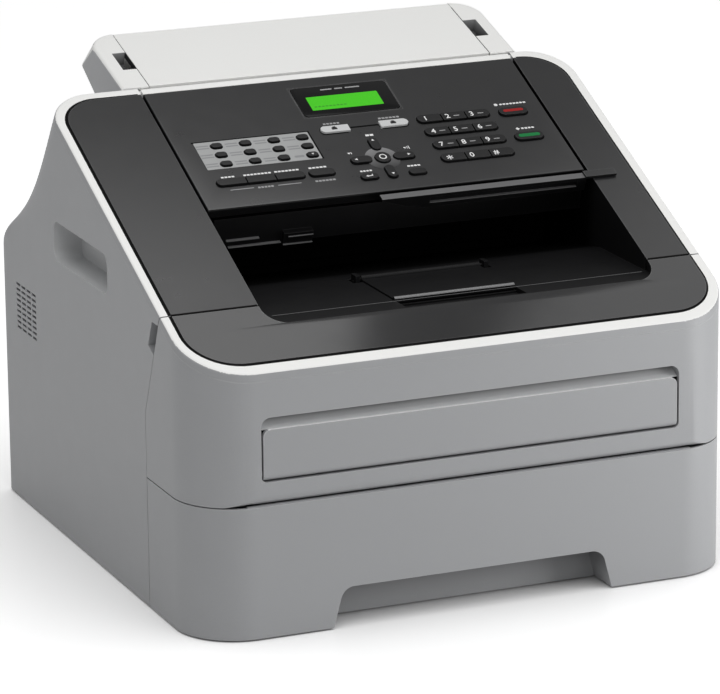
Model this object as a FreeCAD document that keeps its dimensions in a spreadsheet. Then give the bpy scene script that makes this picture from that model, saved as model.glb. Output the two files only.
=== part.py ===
import FreeCAD, Part
import math
import os
import Sketcher
from FreeCAD import Placement, Rotation, Vector

# Desktop laser fax machine in millimetres. Origin: middle of the base on the floor.
# +X is to the right seen from the front, the front face looks along -Y and +Z is up.

doc = FreeCAD.newDocument("fax_machine")
sheet = doc.addObject("Spreadsheet::Sheet", "dims")

SIZES = [
    ("body_width", 368, "overall width"),
    ("body_depth", 360, "overall depth"),
    ("front_rise", 169.7, "height where the sloping top meets the front face"),
    ("slope_angle", 24.4, "tilt of the top in degrees"),
    ("slope_length", 292, "length of the top along its slope"),
    ("rear_top", 183.5, "height where the rear slope meets the rear face"),
    ("rear_round", 30, "radius between rear slope and rear face"),
    ("corner_front", 40, "plan radius of the front corners"),
    ("corner_rear", 30, "radius of the rear corners at the rim"),
    ("corner_bend", 16, "radius of the rear corners where the rear slope ends"),
    ("corner_foot", 5, "radius of the rear corners down the rear face"),
    ("wall", 2.5, "thickness of the covers"),
    ("seam", 0.8, "open seam between covers that move apart"),
    ("fit", 0.3, "gap between fixed pieces"),
    ("floor_gap", 1.2, "height of the feet"),
    ("rim_width", 7.7, "width of the pale rim at the sides"),
    ("rim_front", 10.2, "width of the pale rim at the front"),
    ("rim_rear", 7, "width of the pale rim at the rear"),
    ("rim_depth", 5, "thickness of the pale rim"),
    ("rim_round", 2, "radius on the rim's upper edge"),
    ("dark_corner_front", 32, "front corner radius of the dark top"),
    ("dark_corner_rear", 26, "rear corner radius of the dark top"),
    ("top_plate", 4, "thickness of the dark top"),
    ("tray_height", 85.3, "top of the paper tray's front"),
    ("tray_wrap", 85.6, "how far the tray's front runs back at the sides"),
    ("bin_half", 157, "half width of the tray's bin"),
    ("bin_start", 30, "front of the bin, back from the front face"),
    ("bin_stop", 16, "rear of the bin, in from the rear face"),
    ("bin_height", 50, "top of the bin's walls"),
    ("notch_low", 96.4, "half width of the tray's grip at the floor"),
    ("notch_high", 88, "half width of the tray's grip at its top"),
    ("notch_height", 26.5, "height of the tray's grip"),
    ("notch_depth", 24.7, "depth of the tray's grip"),
    ("notch_round", 9, "corner radius of the tray's grip"),
    ("seam_knee_z", 127.2, "height where the front cover's side seam starts to lean"),
    ("seam_mid", 68.6, "side seam at the finger slot, back from the front face"),
    ("seam_mid_z", 167.3, "side seam at the finger slot, height"),
    ("seam_top", 56.8, "side seam at the rim, back from the front face"),
    ("cover_pivot", 6.4, "front cover hinge axis, in from its face and its lower edge"),
    ("feed_half", 139.7, "half width of the manual feed cover"),
    ("feed_low", 101.2, "lower edge of the manual feed cover"),
    ("feed_high", 133.7, "upper edge of the manual feed cover"),
    ("feed_grip", 7.6, "finger gap above the manual feed cover"),
    ("feed_recess", 13, "depth of the manual feed recess"),
    ("feed_plate", 3, "thickness of the manual feed cover"),
    ("well_left", -119, "left wall of the output well"),
    ("well_right", 146.4, "right wall of the output well"),
    ("well_start", 39.7, "where the slope meets the output well's floor, back from the front face"),
    ("well_bend", 125, "where the well's floor starts to fall, back from the front face"),
    ("well_depth", 212, "rear wall of the output well, back from the front face"),
    ("well_fall", 15.7, "drop of the well's floor to its rear wall"),
    ("well_round", 15, "corner radius of the well's front"),
    ("panel_left", -117.4, "left edge of the control panel"),
    ("panel_right", 144.8, "right edge of the control panel"),
    ("panel_front", 159.2, "front edge of the control panel along the slope"),
    ("panel_skirt", 14, "depth of the panel's side walls"),
    ("panel_lip", 6, "depth of the panel's front wall"),
    ("panel_plate", 2.5, "thickness of the panel's top"),
    ("panel_pivot", 2.7, "hinge axis of the panel, in from its rear edge and its top"),
    ("key_rise", 1.5, "height of the keys above the panel"),
    ("key_gap", 0.4, "gap around a key"),
    ("key_travel", 0.8, "stroke of a key"),
    ("key_flange", 0.8, "overhang that holds a key under the panel"),
    ("number_left", 53.5, "left end of the number keys"),
    ("number_width", 51.5, "width of a row of number keys"),
    ("number_pitch", 14.2, "distance between rows of number keys"),
    ("number_first", 228.3, "first row of number keys along the slope"),
    ("number_height", 7.6, "height of a number key along the slope"),
    ("touch_left", -89.1, "first column of one-touch keys"),
    ("touch_pitch_x", 19.8, "distance between columns of one-touch keys"),
    ("touch_first", 222.8, "first row of one-touch keys along the slope"),
    ("touch_pitch_v", 9.55, "distance between rows of one-touch keys"),
    ("touch_width", 7.4, "width of a one-touch key"),
    ("touch_height", 4.4, "height of a one-touch key along the slope"),
    ("cursor_x", 15.1, "middle of the cursor keys"),
    ("cursor_v", 192.9, "middle of the cursor keys along the slope"),
    ("cursor_reach", 14.9, "middle of a cursor key from the centre"),
    ("cursor_length", 14.4, "length of a cursor key"),
    ("cursor_width", 6.4, "width of a cursor key"),
    ("ok_radius", 5.2, "radius of the confirm key"),
    ("lens_left", -19.5, "left edge of the display lens"),
    ("lens_right", 48, "right edge of the display lens"),
    ("lens_low", 243.2, "lower edge of the display lens along the slope"),
    ("lens_high", 274.5, "upper edge of the display lens along the slope"),
    ("doc_left", -129.5, "left side of the document tray"),
    ("doc_right", 152, "right side of the document tray"),
    ("doc_border", 19, "width of the document tray's side borders"),
    ("doc_angle", 17.2, "tilt of the document tray in degrees"),
    ("doc_length", 74, "length of the document tray"),
    ("doc_recess", 14, "depth of the document tray below its flap"),
    ("doc_corner", 20, "rear corner radius of the document tray"),
    ("flap_plate", 3, "thickness of the document flap"),
    ("rear_door_half", 115, "half width of the rear cover"),
    ("rear_door_low", 80, "lower edge of the rear cover"),
    ("rear_door_high", 160, "upper edge of the rear cover"),
    ("rear_pivot", 4, "rear cover hinge axis, in from its face and its lower edge"),
    ("deck_low", 60, "underside of the deck over the tray"),
    ("deck_high", 68, "top of the deck over the tray"),
    ("frame_half", 140, "inner face of the engine's side frames"),
    ("frame_plate", 3, "thickness of the engine's side frames"),
    ("frame_high", 165, "top of the engine's side frames"),
    ("drum_radius", 12, "radius of the photo drum"),
    ("drum_back", 195, "photo drum axis, back from the front face"),
    ("drum_z", 92, "photo drum axis height"),
    ("roller_radius", 12.4, "radius of the fuser's rollers"),
    ("fuser_in", 59, "fuser rollers, in from the rear face"),
    ("fuser_z", 88.5, "pressure roller height"),
    ("gear_module", 1, "module of the drive gears"),
    ("drum_teeth", 40, "teeth on the drum gear"),
    ("pinion_teeth", 16, "teeth on the motor pinion"),
    ("grip_start", 150, "front end of the side grips, back from the front face"),
    ("grip_end", 251.5, "rear end of the side grips, back from the front face"),
    ("grip_low", 186.5, "lower edge of the side grips"),
    ("grip_high", 212.5, "upper edge of the side grips"),
    ("grip_depth", 19, "depth of the side grips"),
    ("vent_in", 68, "first vent slot, in from the rear face"),
    ("vent_z", 121, "lowest vent slot"),
    ("vent_pitch_y", 10.4, "distance between vent columns"),
    ("vent_pitch_z", 3.7, "distance between vent rows"),
    ("support_left", 26, "left end of the document support's bar"),
    ("support_right", 142, "right end of the document support's bar"),
    ("support_front", 150, "front of the document support along the slope"),
    ("out_left", -27, "left side of the output flap"),
    ("out_right", 55, "right side of the output flap"),
    ("out_start", 59.5, "front edge of the output flap, back from the front face"),
    ("out_end", 118, "rear edge of the output flap, back from the front face"),
]


class Size:
    """A number together with the sheet formula that keeps it live."""

    def __init__(self, number, formula):
        self.number = number
        self.formula = formula

    def __add__(self, other):
        other = as_size(other)
        return Size(self.number + other.number, "(%s + %s)" % (self.formula, other.formula))

    def __radd__(self, other):
        return as_size(other) + self

    def __sub__(self, other):
        other = as_size(other)
        return Size(self.number - other.number, "(%s - %s)" % (self.formula, other.formula))

    def __rsub__(self, other):
        return as_size(other) - self

    def __mul__(self, other):
        other = as_size(other)
        return Size(self.number * other.number, "(%s * %s)" % (self.formula, other.formula))

    def __rmul__(self, other):
        return as_size(other) * self

    def __truediv__(self, other):
        other = as_size(other)
        return Size(self.number / other.number, "(%s / %s)" % (self.formula, other.formula))

    def __neg__(self):
        return Size(-self.number, "(0 - %s)" % self.formula)


def as_size(value):
    if isinstance(value, Size):
        return value
    return Size(float(value), repr(float(value)))


def sine(angle):
    return Size(math.sin(math.radians(angle.number)), "sin(%s)" % angle.formula)


def cosine(angle):
    return Size(math.cos(math.radians(angle.number)), "cos(%s)" % angle.formula)


def tangent(angle):
    return Size(math.tan(math.radians(angle.number)), "tan(%s)" % angle.formula)


def root(value):
    return Size(math.sqrt(value.number), "sqrt(%s)" % value.formula)


class Dims:
    """Holds one Size for each named cell of the sheet."""


d = Dims()
for row, (alias, value, note) in enumerate(SIZES, 1):
    sheet.set("A%d" % row, note)
    sheet.set("B%d" % row, str(value))
    sheet.setAlias("B%d" % row, alias)
    setattr(d, alias, Size(float(value), "dims." + alias))
doc.recompute()

half_w = d.body_width / 2
half_d = d.body_depth / 2
ridge_y = d.slope_length * cosine(d.slope_angle) - half_d
ridge_z = d.front_rise + d.slope_length * sine(d.slope_angle)
rear_fall = (ridge_z - d.rear_top) / (half_d - ridge_y)
rear_stretch = root(rear_fall * rear_fall + 1)
cover_low = d.tray_height + d.seam
seam_mid_y = d.seam_mid - half_d
seam_top_y = d.seam_top - half_d
bin_front = d.bin_start - half_d
well_step = d.well_bend - half_d
well_back = d.well_depth - half_d
out_front = d.out_start - half_d
out_rear = d.out_end - half_d
drum_y = d.drum_back - half_d
grip_front = d.grip_start - half_d
grip_rear = d.grip_end - half_d
bin_rear = half_d - d.bin_stop
fuser_y = half_d - d.fuser_in
vent_y = half_d - d.vent_in

# A frame is the depth, height and tilt that a piece's own coordinates start from.
# The engine's frame keeps its distance from the front face and the back's from the rear face.
WORLD = (as_size(0), as_size(0), None)
ENGINE = (180 - half_d, as_size(0), None)
BACK = (half_d - 180, as_size(0), None)
SLOPE = (-half_d, d.front_rise, d.slope_angle)
DOC = (ridge_y + 1.0, ridge_z + 0.4, d.doc_angle)

finished = []


def slope_z(y):
    return d.front_rise + (y + half_d) * tangent(d.slope_angle)


def rear_z(y):
    return ridge_z - (y - ridge_y) * rear_fall


def frame_point(frame, y, z):
    """World Y and Z of a point given in a frame."""
    base_y, base_z, angle = frame
    if angle is None:
        return base_y + y, base_z + z
    return (base_y + y * cosine(angle) - z * sine(angle), base_z + y * sine(angle) + z * cosine(angle))


def bind(obj, prop, value):
    obj.setExpression(prop, as_size(value).formula)


def place(obj, frame, x, y, z):
    """Puts an object's own origin at a point of a frame and tilts it with the frame."""
    angle = frame[2]
    if angle is not None:
        obj.Placement = Placement(Vector(), Rotation(Vector(1, 0, 0), angle.number))
        bind(obj, "Placement.Rotation.Angle", angle)
    y, z = frame_point(frame, as_size(y), as_size(z))
    bind(obj, "Placement.Base.x", x)
    bind(obj, "Placement.Base.y", y)
    bind(obj, "Placement.Base.z", z)
    return obj


def box(x, y, z, frame=WORLD):
    obj = doc.addObject("Part::Box", "block")
    bind(obj, "Length", x[1] - as_size(x[0]))
    bind(obj, "Width", y[1] - as_size(y[0]))
    bind(obj, "Height", z[1] - as_size(z[0]))
    return place(obj, frame, x[0], y[0], z[0])


def rod(radius, x, y, z, frame=WORLD):
    """Cylinder along X."""
    obj = doc.addObject("Part::Cylinder", "rod")
    bind(obj, "Radius", radius)
    bind(obj, "Height", x[1] - as_size(x[0]))
    obj.Placement = Placement(Vector(), Rotation(Vector(0, 1, 0), 90))
    y, z = frame_point(frame, as_size(y), as_size(z))
    bind(obj, "Placement.Base.x", x[0])
    bind(obj, "Placement.Base.y", y)
    bind(obj, "Placement.Base.z", z)
    return obj


def post(radius, x, y, z, frame=WORLD):
    """Cylinder along the frame's own upright."""
    obj = doc.addObject("Part::Cylinder", "post")
    bind(obj, "Radius", radius)
    bind(obj, "Height", z[1] - as_size(z[0]))
    return place(obj, frame, x, y, z[0])


def peg(radius, x, y, z):
    """Cylinder along Y."""
    obj = doc.addObject("Part::Cylinder", "peg")
    bind(obj, "Radius", radius)
    bind(obj, "Height", y[1] - as_size(y[0]))
    obj.Placement = Placement(Vector(), Rotation(Vector(1, 0, 0), -90))
    bind(obj, "Placement.Base.x", x)
    bind(obj, "Placement.Base.y", y[0])
    bind(obj, "Placement.Base.z", z)
    return obj


def outline(sketch, points):
    """Closed polygon whose corners are tied to the sheet."""
    points = [(as_size(u), as_size(v)) for u, v in points]
    count = len(points)
    for i, (u, v) in enumerate(points):
        nu, nv = points[(i + 1) % count]
        start = Vector(u.number, v.number, 0)
        sketch.addGeometry(Part.LineSegment(start, Vector(nu.number, nv.number, 0)), False)
    for i in range(count):
        sketch.addConstraint(Sketcher.Constraint("Coincident", i, 2, (i + 1) % count, 1))
    for i, corner in enumerate(points):
        for kind, axis, value in (("DistanceX", -2, corner[0]), ("DistanceY", -1, corner[1])):
            if abs(value.number) < 1e-9:
                sketch.addConstraint(Sketcher.Constraint("PointOnObject", i, 1, axis))
                continue
            index = sketch.addConstraint(Sketcher.Constraint(kind, -1, 1, i, 1, value.number))
            sketch.setExpression("Constraints[%d]" % index, value.formula)


def prism(plane, points, span, frame=WORLD):
    """Polygon on XY, XZ or YZ, padded over a span of the third axis."""
    body = doc.addObject("PartDesign::Body", "prism")
    sketch = body.newObject("Sketcher::SketchObject", "outline")
    role = plane + "_Plane"
    sketch.AttachmentSupport = [([f for f in body.Origin.OriginFeatures if f.Role == role][0], "")]
    sketch.MapMode = "FlatFace"
    outline(sketch, points)
    pad = body.newObject("PartDesign::Pad", "pad")
    pad.Profile = (sketch, [""])
    bind(pad, "Length", span[1] - as_size(span[0]))
    if plane == "YZ":
        return place(body, frame, span[0], 0, 0)
    if plane == "XZ":
        return place(body, frame, 0, span[1], 0)
    return place(body, frame, 0, 0, span[0])


def soften(body, radius, pick):
    """Rounds the edges of a body's last feature that a test picks, in the body's own coordinates."""
    doc.recompute()
    base = body.Tip
    names = ["Edge%d" % (i + 1) for i, edge in enumerate(base.Shape.Edges) if pick(edge)]
    if not names:
        raise ValueError("no edge to round on " + body.Name)
    feature = body.newObject("PartDesign::Fillet", "fillet")
    feature.Base = (base, names)
    bind(feature, "Radius", radius)
    body.Tip = feature
    return body


def runs_along(edge, axis):
    box_size = edge.BoundBox
    lengths = [box_size.XLength, box_size.YLength, box_size.ZLength]
    along = lengths.pop("XYZ".index(axis))
    return along > 0.5 and max(lengths) < 1e-4


def fuse(*parts):
    obj = doc.addObject("Part::MultiFuse", "joined")
    obj.Shapes = list(parts)
    obj.Refine = True
    return obj


def common(*parts):
    obj = doc.addObject("Part::MultiCommon", "shared")
    obj.Shapes = list(parts)
    obj.Refine = True
    return obj


def cut(base, *tools):
    obj = doc.addObject("Part::Cut", "trimmed")
    obj.Base = base
    obj.Tool = tools[0] if len(tools) == 1 else group(*tools)
    obj.Refine = True
    return obj


def group(*parts):
    obj = doc.addObject("Part::Compound", "group")
    obj.Links = list(parts)
    return obj


def name(label, obj):
    """Gives a finished piece the label that names its file."""
    obj.Label = label
    finished.append(obj)
    return obj


def sided(sign, low, high):
    """Span between two distances from the middle, on the left for -1 and on the right for 1."""
    return (-as_size(high), -as_size(low)) if sign < 0 else (as_size(low), as_size(high))


well_floor = slope_z(d.well_start - half_d)
well_back_floor = well_floor - d.well_fall


# Envelope: the closed outer form that all the covers are cut from, and the same form one wall
# further in.
def envelope(inset, low):
    inset = as_size(inset)
    slope_cos = cosine(d.slope_angle)
    slope_tan = tangent(d.slope_angle)
    front = inset - half_d
    rear = half_d - inset
    slope_base = d.front_rise - inset / slope_cos
    rear_base = ridge_z - inset * rear_stretch
    peak_y = (rear_base - slope_base + rear_fall * ridge_y - slope_tan * half_d) / (rear_fall + slope_tan)
    peak_z = slope_base + (peak_y + half_d) * slope_tan
    points = [
        (front, low),
        (rear, low),
        (rear, rear_base - (rear - ridge_y) * rear_fall),
        (peak_y, peak_z),
        (front, slope_base + inset * slope_tan),
    ]
    side = half_w - inset
    body = prism("YZ", points, (-side, side))
    front_number = front.number
    soften(body, d.corner_front - inset,
           lambda e: runs_along(e, "Z") and abs(e.BoundBox.YMin - front_number) < 1e-3)
    rear_number = rear.number
    soften(body, d.rear_round - inset,
           lambda e: runs_along(e, "X") and abs(e.BoundBox.YMax - rear_number) < 1e-3 and e.BoundBox.ZMin > 100)
    doc.recompute()
    peak_number = peak_y.number
    rounded = doc.addObject("Part::Fillet", "rounded")
    rounded.Base = body
    edges = []
    for i, edge in enumerate(body.Shape.Edges):
        reach = edge.BoundBox
        if reach.XLength > 1e-3 or reach.YMax < peak_number + 1 or reach.ZMax < low.number + 1:
            continue
        if reach.YLength < 1e-3:
            radii = (d.corner_foot, d.corner_foot)
        elif abs(reach.YMin - peak_number) < 1e-3:
            radii = (d.corner_rear, d.corner_bend)
        else:
            radii = (d.corner_bend, d.corner_foot)
        radii = [radius.number - inset.number for radius in radii]
        if edge.Vertexes[0].Point.z < edge.Vertexes[-1].Point.z:
            radii.reverse()
        edges.append((i + 1, radii[0], radii[1]))
    rounded.Edges = edges
    return rounded


def soften_top(base):
    """Rounds the loop of edges around the sloping top."""
    doc.recompute()
    rounded = doc.addObject("Part::Fillet", "rounded_top")
    rounded.Base = base
    edges = []
    for i, edge in enumerate(base.Shape.Edges):
        middle = edge.CenterOfMass
        off = abs(middle.z - slope_z(as_size(middle.y)).number)
        if off < 1.0 and edge.BoundBox.YMax < ridge_y.number + 0.01:
            edges.append((i + 1, d.rim_round.number, d.rim_round.number))
    rounded.Edges = edges
    return rounded


outer = soften_top(envelope(0, d.floor_gap))
inner = envelope(d.wall, as_size(-5))

rim_under = box((-half_w - 20, half_w + 20), (-60, d.body_depth + 150), (-450, -d.rim_depth), SLOPE)
dark_top = d.slope_length - d.rim_rear


def dark_block(gap, w):
    """The dark field inside the rim, as a block over a span of depth."""
    side = half_w - d.rim_width - gap
    points = [(-side, d.rim_front + gap), (side, d.rim_front + gap),
              (side, dark_top - gap), (-side, dark_top - gap)]
    body = prism("XY", points, w, SLOPE)
    middle = d.slope_length.number / 2
    soften(body, d.dark_corner_front - gap, lambda e: runs_along(e, "Z") and e.BoundBox.YMax < middle)
    soften(body, d.dark_corner_rear - gap, lambda e: runs_along(e, "Z") and e.BoundBox.YMin > middle)
    return body


# Pale rim: one ring, split at the front cover's seam; the control panel carries the middle of its
# rear run.
ring_slab = box((-half_w - 20, half_w + 20), (-60, d.slope_length + 20), (-d.rim_depth, 20), SLOPE)
ring = cut(common(outer, ring_slab), dark_block(as_size(0), (-40, 10)))
rim_seam = (seam_top_y + half_d) / cosine(d.slope_angle)
pivot_v = d.slope_length - d.panel_pivot
name("front_rim", common(ring, box((-half_w - 20, half_w + 20), (-60, rim_seam - d.seam / 2), (-40, 20),
                                   SLOPE)))
rim_bar = common(ring, box((-half_w - 20, half_w + 20), (rim_seam + d.seam / 2, d.slope_length + 20),
                           (-40, 20), SLOPE))
name("rim", cut(rim_bar,
                box((d.well_left, d.well_right), (dark_top - 6, d.slope_length + 20), (-40, 20), SLOPE),
                rod(1.55, (d.well_left - 4, d.well_right + 4), pivot_v, -d.panel_pivot, SLOPE)))

# Side covers: shells behind the front cover's seam, with a grip, vents and a finger slot in each.
behind_seam = [
    (d.tray_wrap - half_d + d.seam / 2, -20),
    (half_d + 20, -20),
    (half_d + 20, 420),
    (seam_top_y + d.seam / 2, 420),
    (seam_top_y + d.seam / 2, slope_z(seam_top_y)),
    (seam_mid_y + d.seam / 2, d.seam_mid_z),
    (d.tray_wrap - half_d + d.seam / 2, d.seam_knee_z),
]
side_inner = 166


def side_cover(label, sign):
    zone = prism("YZ", behind_seam, sided(sign, side_inner, half_w + 5))
    shell = cut(common(outer, zone, rim_under), inner)
    grip_block = box(sided(sign, half_w - d.grip_depth - d.wall, half_w),
                     (grip_front - d.wall, grip_rear + d.wall),
                     (d.grip_low - d.wall, d.grip_high + d.wall))
    slot_block = common(prism("YZ", behind_seam, sided(sign, half_w - 9, half_w)),
                        box(sided(sign, half_w - 9, half_w), (seam_top_y, seam_mid_y + 13.4),
                            (d.seam_mid_z - 5, d.seam_mid_z + 25)), outer, rim_under)
    shell = fuse(shell, common(grip_block, outer), slot_block)
    grip_points = [(grip_front, d.grip_low), (grip_rear, d.grip_low),
                   (grip_rear, d.grip_high), (grip_front, d.grip_high)]
    grip = prism("YZ", grip_points, sided(sign, half_w - d.grip_depth, half_w + 5))
    soften(grip, 7, lambda e: runs_along(e, "X"))
    slot_points = [(seam_mid_y - 1, d.seam_mid_z + 0.5), (seam_mid_y + 9.2, d.seam_mid_z + 5.5),
                   (seam_mid_y + 2, d.seam_mid_z + 22), (seam_top_y - 1, d.seam_mid_z + 22)]
    slot = prism("YZ", slot_points, sided(sign, half_w - 6, half_w + 5))
    vents = []
    for column in range(4):
        y = vent_y + d.vent_pitch_y * column
        for level in range(9):
            z = d.vent_z + d.vent_pitch_z * level
            vents.append(box(sided(sign, half_w - 10, half_w + 5), (y, y + 8.2), (z, z + 1.6)))
    name(label, cut(shell, grip, slot, *vents))


side_cover("left_cover", -1)
side_cover("right_cover", 1)

# Rear panel: the rear slope and rear wall, with a door opening, a document mouth and holes for
# sockets and screws.
back_half = side_inner - d.fit
back_zone = box((-back_half, back_half), (ridge_y + 2, half_d + 5), (d.floor_gap, 320))
mouth = box((d.doc_left + d.doc_border, d.doc_right - d.doc_border), (ridge_y - 6, ridge_y + 15),
            (258, 330))
door_hole = box((-d.rear_door_half - d.seam, d.rear_door_half + d.seam), (half_d - 30, half_d + 5),
                (d.rear_door_low - d.seam, d.rear_door_high + d.seam))
inlet_x = -145
sockets_x = 145
screw_x = 150
screw_low = 40
screw_high = 150
screw_spots = [(x, z) for z in (screw_low, screw_high) for x in (-screw_x, screw_x)]
rear_holes = [peg(4.2, x, (half_d - 8, half_d + 5), z) for x, z in screw_spots]
rear_panel = cut(common(outer, back_zone, rim_under), inner, mouth, door_hole,
                 box((inlet_x - 14.3, inlet_x + 14.3), (half_d - 8, half_d + 5), (70.5, 95.5)),
                 box((sockets_x - 16.3, sockets_x + 16.3), (half_d - 8, half_d + 5), (70.5, 88.5)),
                 *rear_holes)
door_axis_y = half_d - d.rear_pivot
door_axis_z = d.rear_door_low + d.rear_pivot
door_ears = [box(sided(s, d.rear_door_half + d.seam, d.rear_door_half + 5), (half_d - 9, half_d - d.wall),
                 (d.rear_door_low - 2, d.rear_door_low + 11)) for s in (-1, 1)]
name("rear_panel", cut(fuse(rear_panel, *door_ears),
                       rod(1.56, (-d.rear_door_half - 4, d.rear_door_half + 4), door_axis_y,
                           door_axis_z)))

# Rear cover: a door with a rolled lower edge about its hinge pins.
door = prism("XZ", [(-d.rear_door_half, d.rear_door_low), (d.rear_door_half, d.rear_door_low),
                    (d.rear_door_half, d.rear_door_high), (-d.rear_door_half, d.rear_door_high)],
             (half_d - d.wall, half_d))
door_low = d.rear_door_low.number
soften(door, 2.3, lambda e: runs_along(e, "X") and abs(e.BoundBox.ZMin - door_low) < 1e-3
       and e.BoundBox.YMax > -0.1)
door_roll = rod(d.rear_pivot, (-d.rear_door_half, d.rear_door_half), door_axis_y, door_axis_z)
door_pins = rod(1.5, (-d.rear_door_half - 3.5, d.rear_door_half + 3.5), door_axis_y, door_axis_z)
door_trim = box((-d.rear_door_half - 1, d.rear_door_half + 1), (half_d - d.rear_pivot, half_d + 2),
                (d.rear_door_low - 3, door_axis_z))
name("rear_cover", fuse(cut(door, door_trim), door_roll, door_pins,
                        box((-100, 100), (half_d - 7, half_d - d.wall),
                            (d.rear_door_high - 20, d.rear_door_high - 17))))

# Front cover: shell with a rolled lower edge, hinge pins at its sides and the manual feed recess.
ahead_of_seam = [
    (-half_d - 20, cover_low),
    (d.tray_wrap - half_d - d.seam / 2, cover_low),
    (d.tray_wrap - half_d - d.seam / 2, d.seam_knee_z),
    (seam_mid_y - d.seam / 2, d.seam_mid_z),
    (seam_top_y - d.seam / 2, slope_z(seam_top_y)),
    (seam_top_y - d.seam / 2, 420),
    (-half_d - 20, 420),
]
cover_zone = prism("YZ", ahead_of_seam, (-half_w - 5, half_w + 5))
cover_axis_y = d.cover_pivot - half_d
cover_axis_z = cover_low + d.cover_pivot
roll_keep = fuse(rod(d.cover_pivot, (-half_w - 5, half_w + 5), cover_axis_y, cover_axis_z),
                 box((-half_w - 5, half_w + 5), (-half_d - 20, half_d), (cover_axis_z, 420)),
                 box((-half_w - 5, half_w + 5), (cover_axis_y, half_d), (cover_low - 5, 420)))
lip_rear = cover_axis_y + 7
cover_hollow = cut(inner, box((-half_w, half_w), (-half_d - 5, lip_rear),
                              (-10, cover_low + d.wall - 0.3)))
cover_shell = cut(common(outer, cover_zone, rim_under, roll_keep), cover_hollow)
feed_top = d.feed_high + d.feed_grip
recess_half = d.feed_half + 1.3
recess_low = d.feed_low - 0.7
pan = box((-recess_half - d.wall, recess_half + d.wall), (-half_d + 1, d.feed_recess + d.wall - half_d),
          (recess_low - d.wall, feed_top + d.wall))
recess = prism("XZ", [(-recess_half, recess_low), (recess_half, recess_low), (recess_half, feed_top),
                      (-recess_half, feed_top)], (-half_d - 5, d.feed_recess - half_d))
recess_top = feed_top.number
soften(recess, 6, lambda e: runs_along(e, "Y") and e.BoundBox.ZMin > recess_top - 0.1)
feed_slot = box((-112, 112), (-half_d, d.feed_recess + 10 - half_d), (d.feed_low + 9, d.feed_low + 15))
feed_axis_y = 4 - half_d
feed_axis_z = d.feed_low + 4
hinge_x = half_w - d.corner_front + 2
cover_pins = [rod(2, sided(s, hinge_x - 0.5, hinge_x + 6), cover_axis_y, cover_axis_z) for s in (-1, 1)]
cover_webs = [common(box(sided(s, hinge_x + 4.8, hinge_x + 7.6), (-half_d, cover_axis_y + 4),
                         (cover_low, cover_axis_z + 4)),
                     outer, roll_keep) for s in (-1, 1)]
lip_shell = cut(cover_shell, *[box(sided(s, hinge_x - 1, hinge_x + 4.7),
                                   (cover_axis_y - 3.7, lip_rear + 5),
                                   (cover_low - 5, cover_axis_z + 3.7)) for s in (-1, 1)])
name("front_cover", cut(fuse(lip_shell, pan, *cover_webs, *cover_pins), recess, feed_slot,
                        rod(1.56, (-recess_half - 2.2, recess_half + 2.2), feed_axis_y, feed_axis_z)))

# Manual feed cover: a flush flap that tips out on pins at its lower corners.
flap = prism("XZ", [(-d.feed_half, d.feed_low), (d.feed_half, d.feed_low), (d.feed_half, d.feed_high),
                    (-d.feed_half, d.feed_high)], (-half_d, d.feed_plate - half_d))
feed_high = d.feed_high.number
soften(flap, 5, lambda e: runs_along(e, "Y") and e.BoundBox.ZMin > feed_high - 0.1)
flap_trim = box((-d.feed_half - 1, d.feed_half + 1), (-half_d - 2, feed_axis_y),
                (d.feed_low - 3, feed_axis_z))
name("manual_feed_cover", fuse(cut(flap, flap_trim),
                               rod(4, (-d.feed_half, d.feed_half), feed_axis_y, feed_axis_z),
                               rod(1.5, (-recess_half - 2, recess_half + 2), feed_axis_y, feed_axis_z)))

# Front top: dark field ahead of the seam, with the front of the output well let into it.
well_edge = d.well_start - 0.2 - half_d
well_points = [(d.well_left, well_edge), (d.well_right, well_edge),
               (d.well_right, out_rear), (d.well_left, out_rear)]
well_mouth = prism("XY", well_points, (well_floor, well_floor + 120))
well_middle = seam_mid_y.number
soften(well_mouth, d.well_round, lambda e: runs_along(e, "Z") and e.BoundBox.YMax < well_middle)
field_front = common(dark_block(d.fit, (-24, 0)),
                     box((-half_w, half_w), (0, rim_seam - d.seam / 2), (-30, 5), SLOPE))
field_plate = box((-half_w, half_w), (0, 200), (-d.top_plate, 5), SLOPE)
ledge = box((d.well_left - 3, d.well_right + 3), (well_edge - 5.5, seam_top_y),
            (well_floor - 6, well_floor + 40))
finger_dip = box((d.out_left, d.out_right), (well_edge + 2, out_front + 10.5),
                 (well_floor - 3.5, well_floor + 5))
name("front_top", cut(common(field_front, fuse(field_plate, ledge)), well_mouth, finger_dip))

# Top cover: the dark strips beside the control panel in one moulding with the output well.
field_rear = common(dark_block(d.fit, (-d.top_plate, 0)),
                    box((-half_w, half_w), (rim_seam + d.seam / 2, 400), (-30, 5), SLOPE))
strips = cut(field_rear, box((d.well_left, d.well_right), (0, 400), (-40, 20), SLOPE))
well_front = seam_top_y + d.seam
wall_front = well_front + 2.4
wall_top_y = -half_d + (dark_top - 1.5) * cosine(d.slope_angle)
wall_points = [
    (wall_front, well_floor - 3),
    (well_step, well_floor - 3),
    (well_back, well_back_floor - 3),
    (wall_top_y, well_back_floor - 3),
    (wall_top_y, slope_z(wall_top_y) - 1),
    (wall_front, slope_z(wall_front) - 1),
]
back_wall_top = slope_z(well_back) - as_size(42) / cosine(d.slope_angle) - 5.75
left_wall = prism("YZ", wall_points, (d.well_left - 2.5, d.well_left))
right_wall = prism("YZ", wall_points, (d.well_right, d.well_right + 2.5))
floor_points = [
    (well_front, well_floor - 3),
    (well_step, well_floor - 3),
    (well_back, well_back_floor - 3),
    (well_back + 3, well_back_floor - 3),
    (well_back + 3, back_wall_top),
    (well_back, back_wall_top),
    (well_back, well_back_floor),
    (well_step, well_floor),
    (well_front, well_floor),
]
well_base = prism("YZ", floor_points, (d.well_left - 2.5, d.well_right + 2.5))
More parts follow.
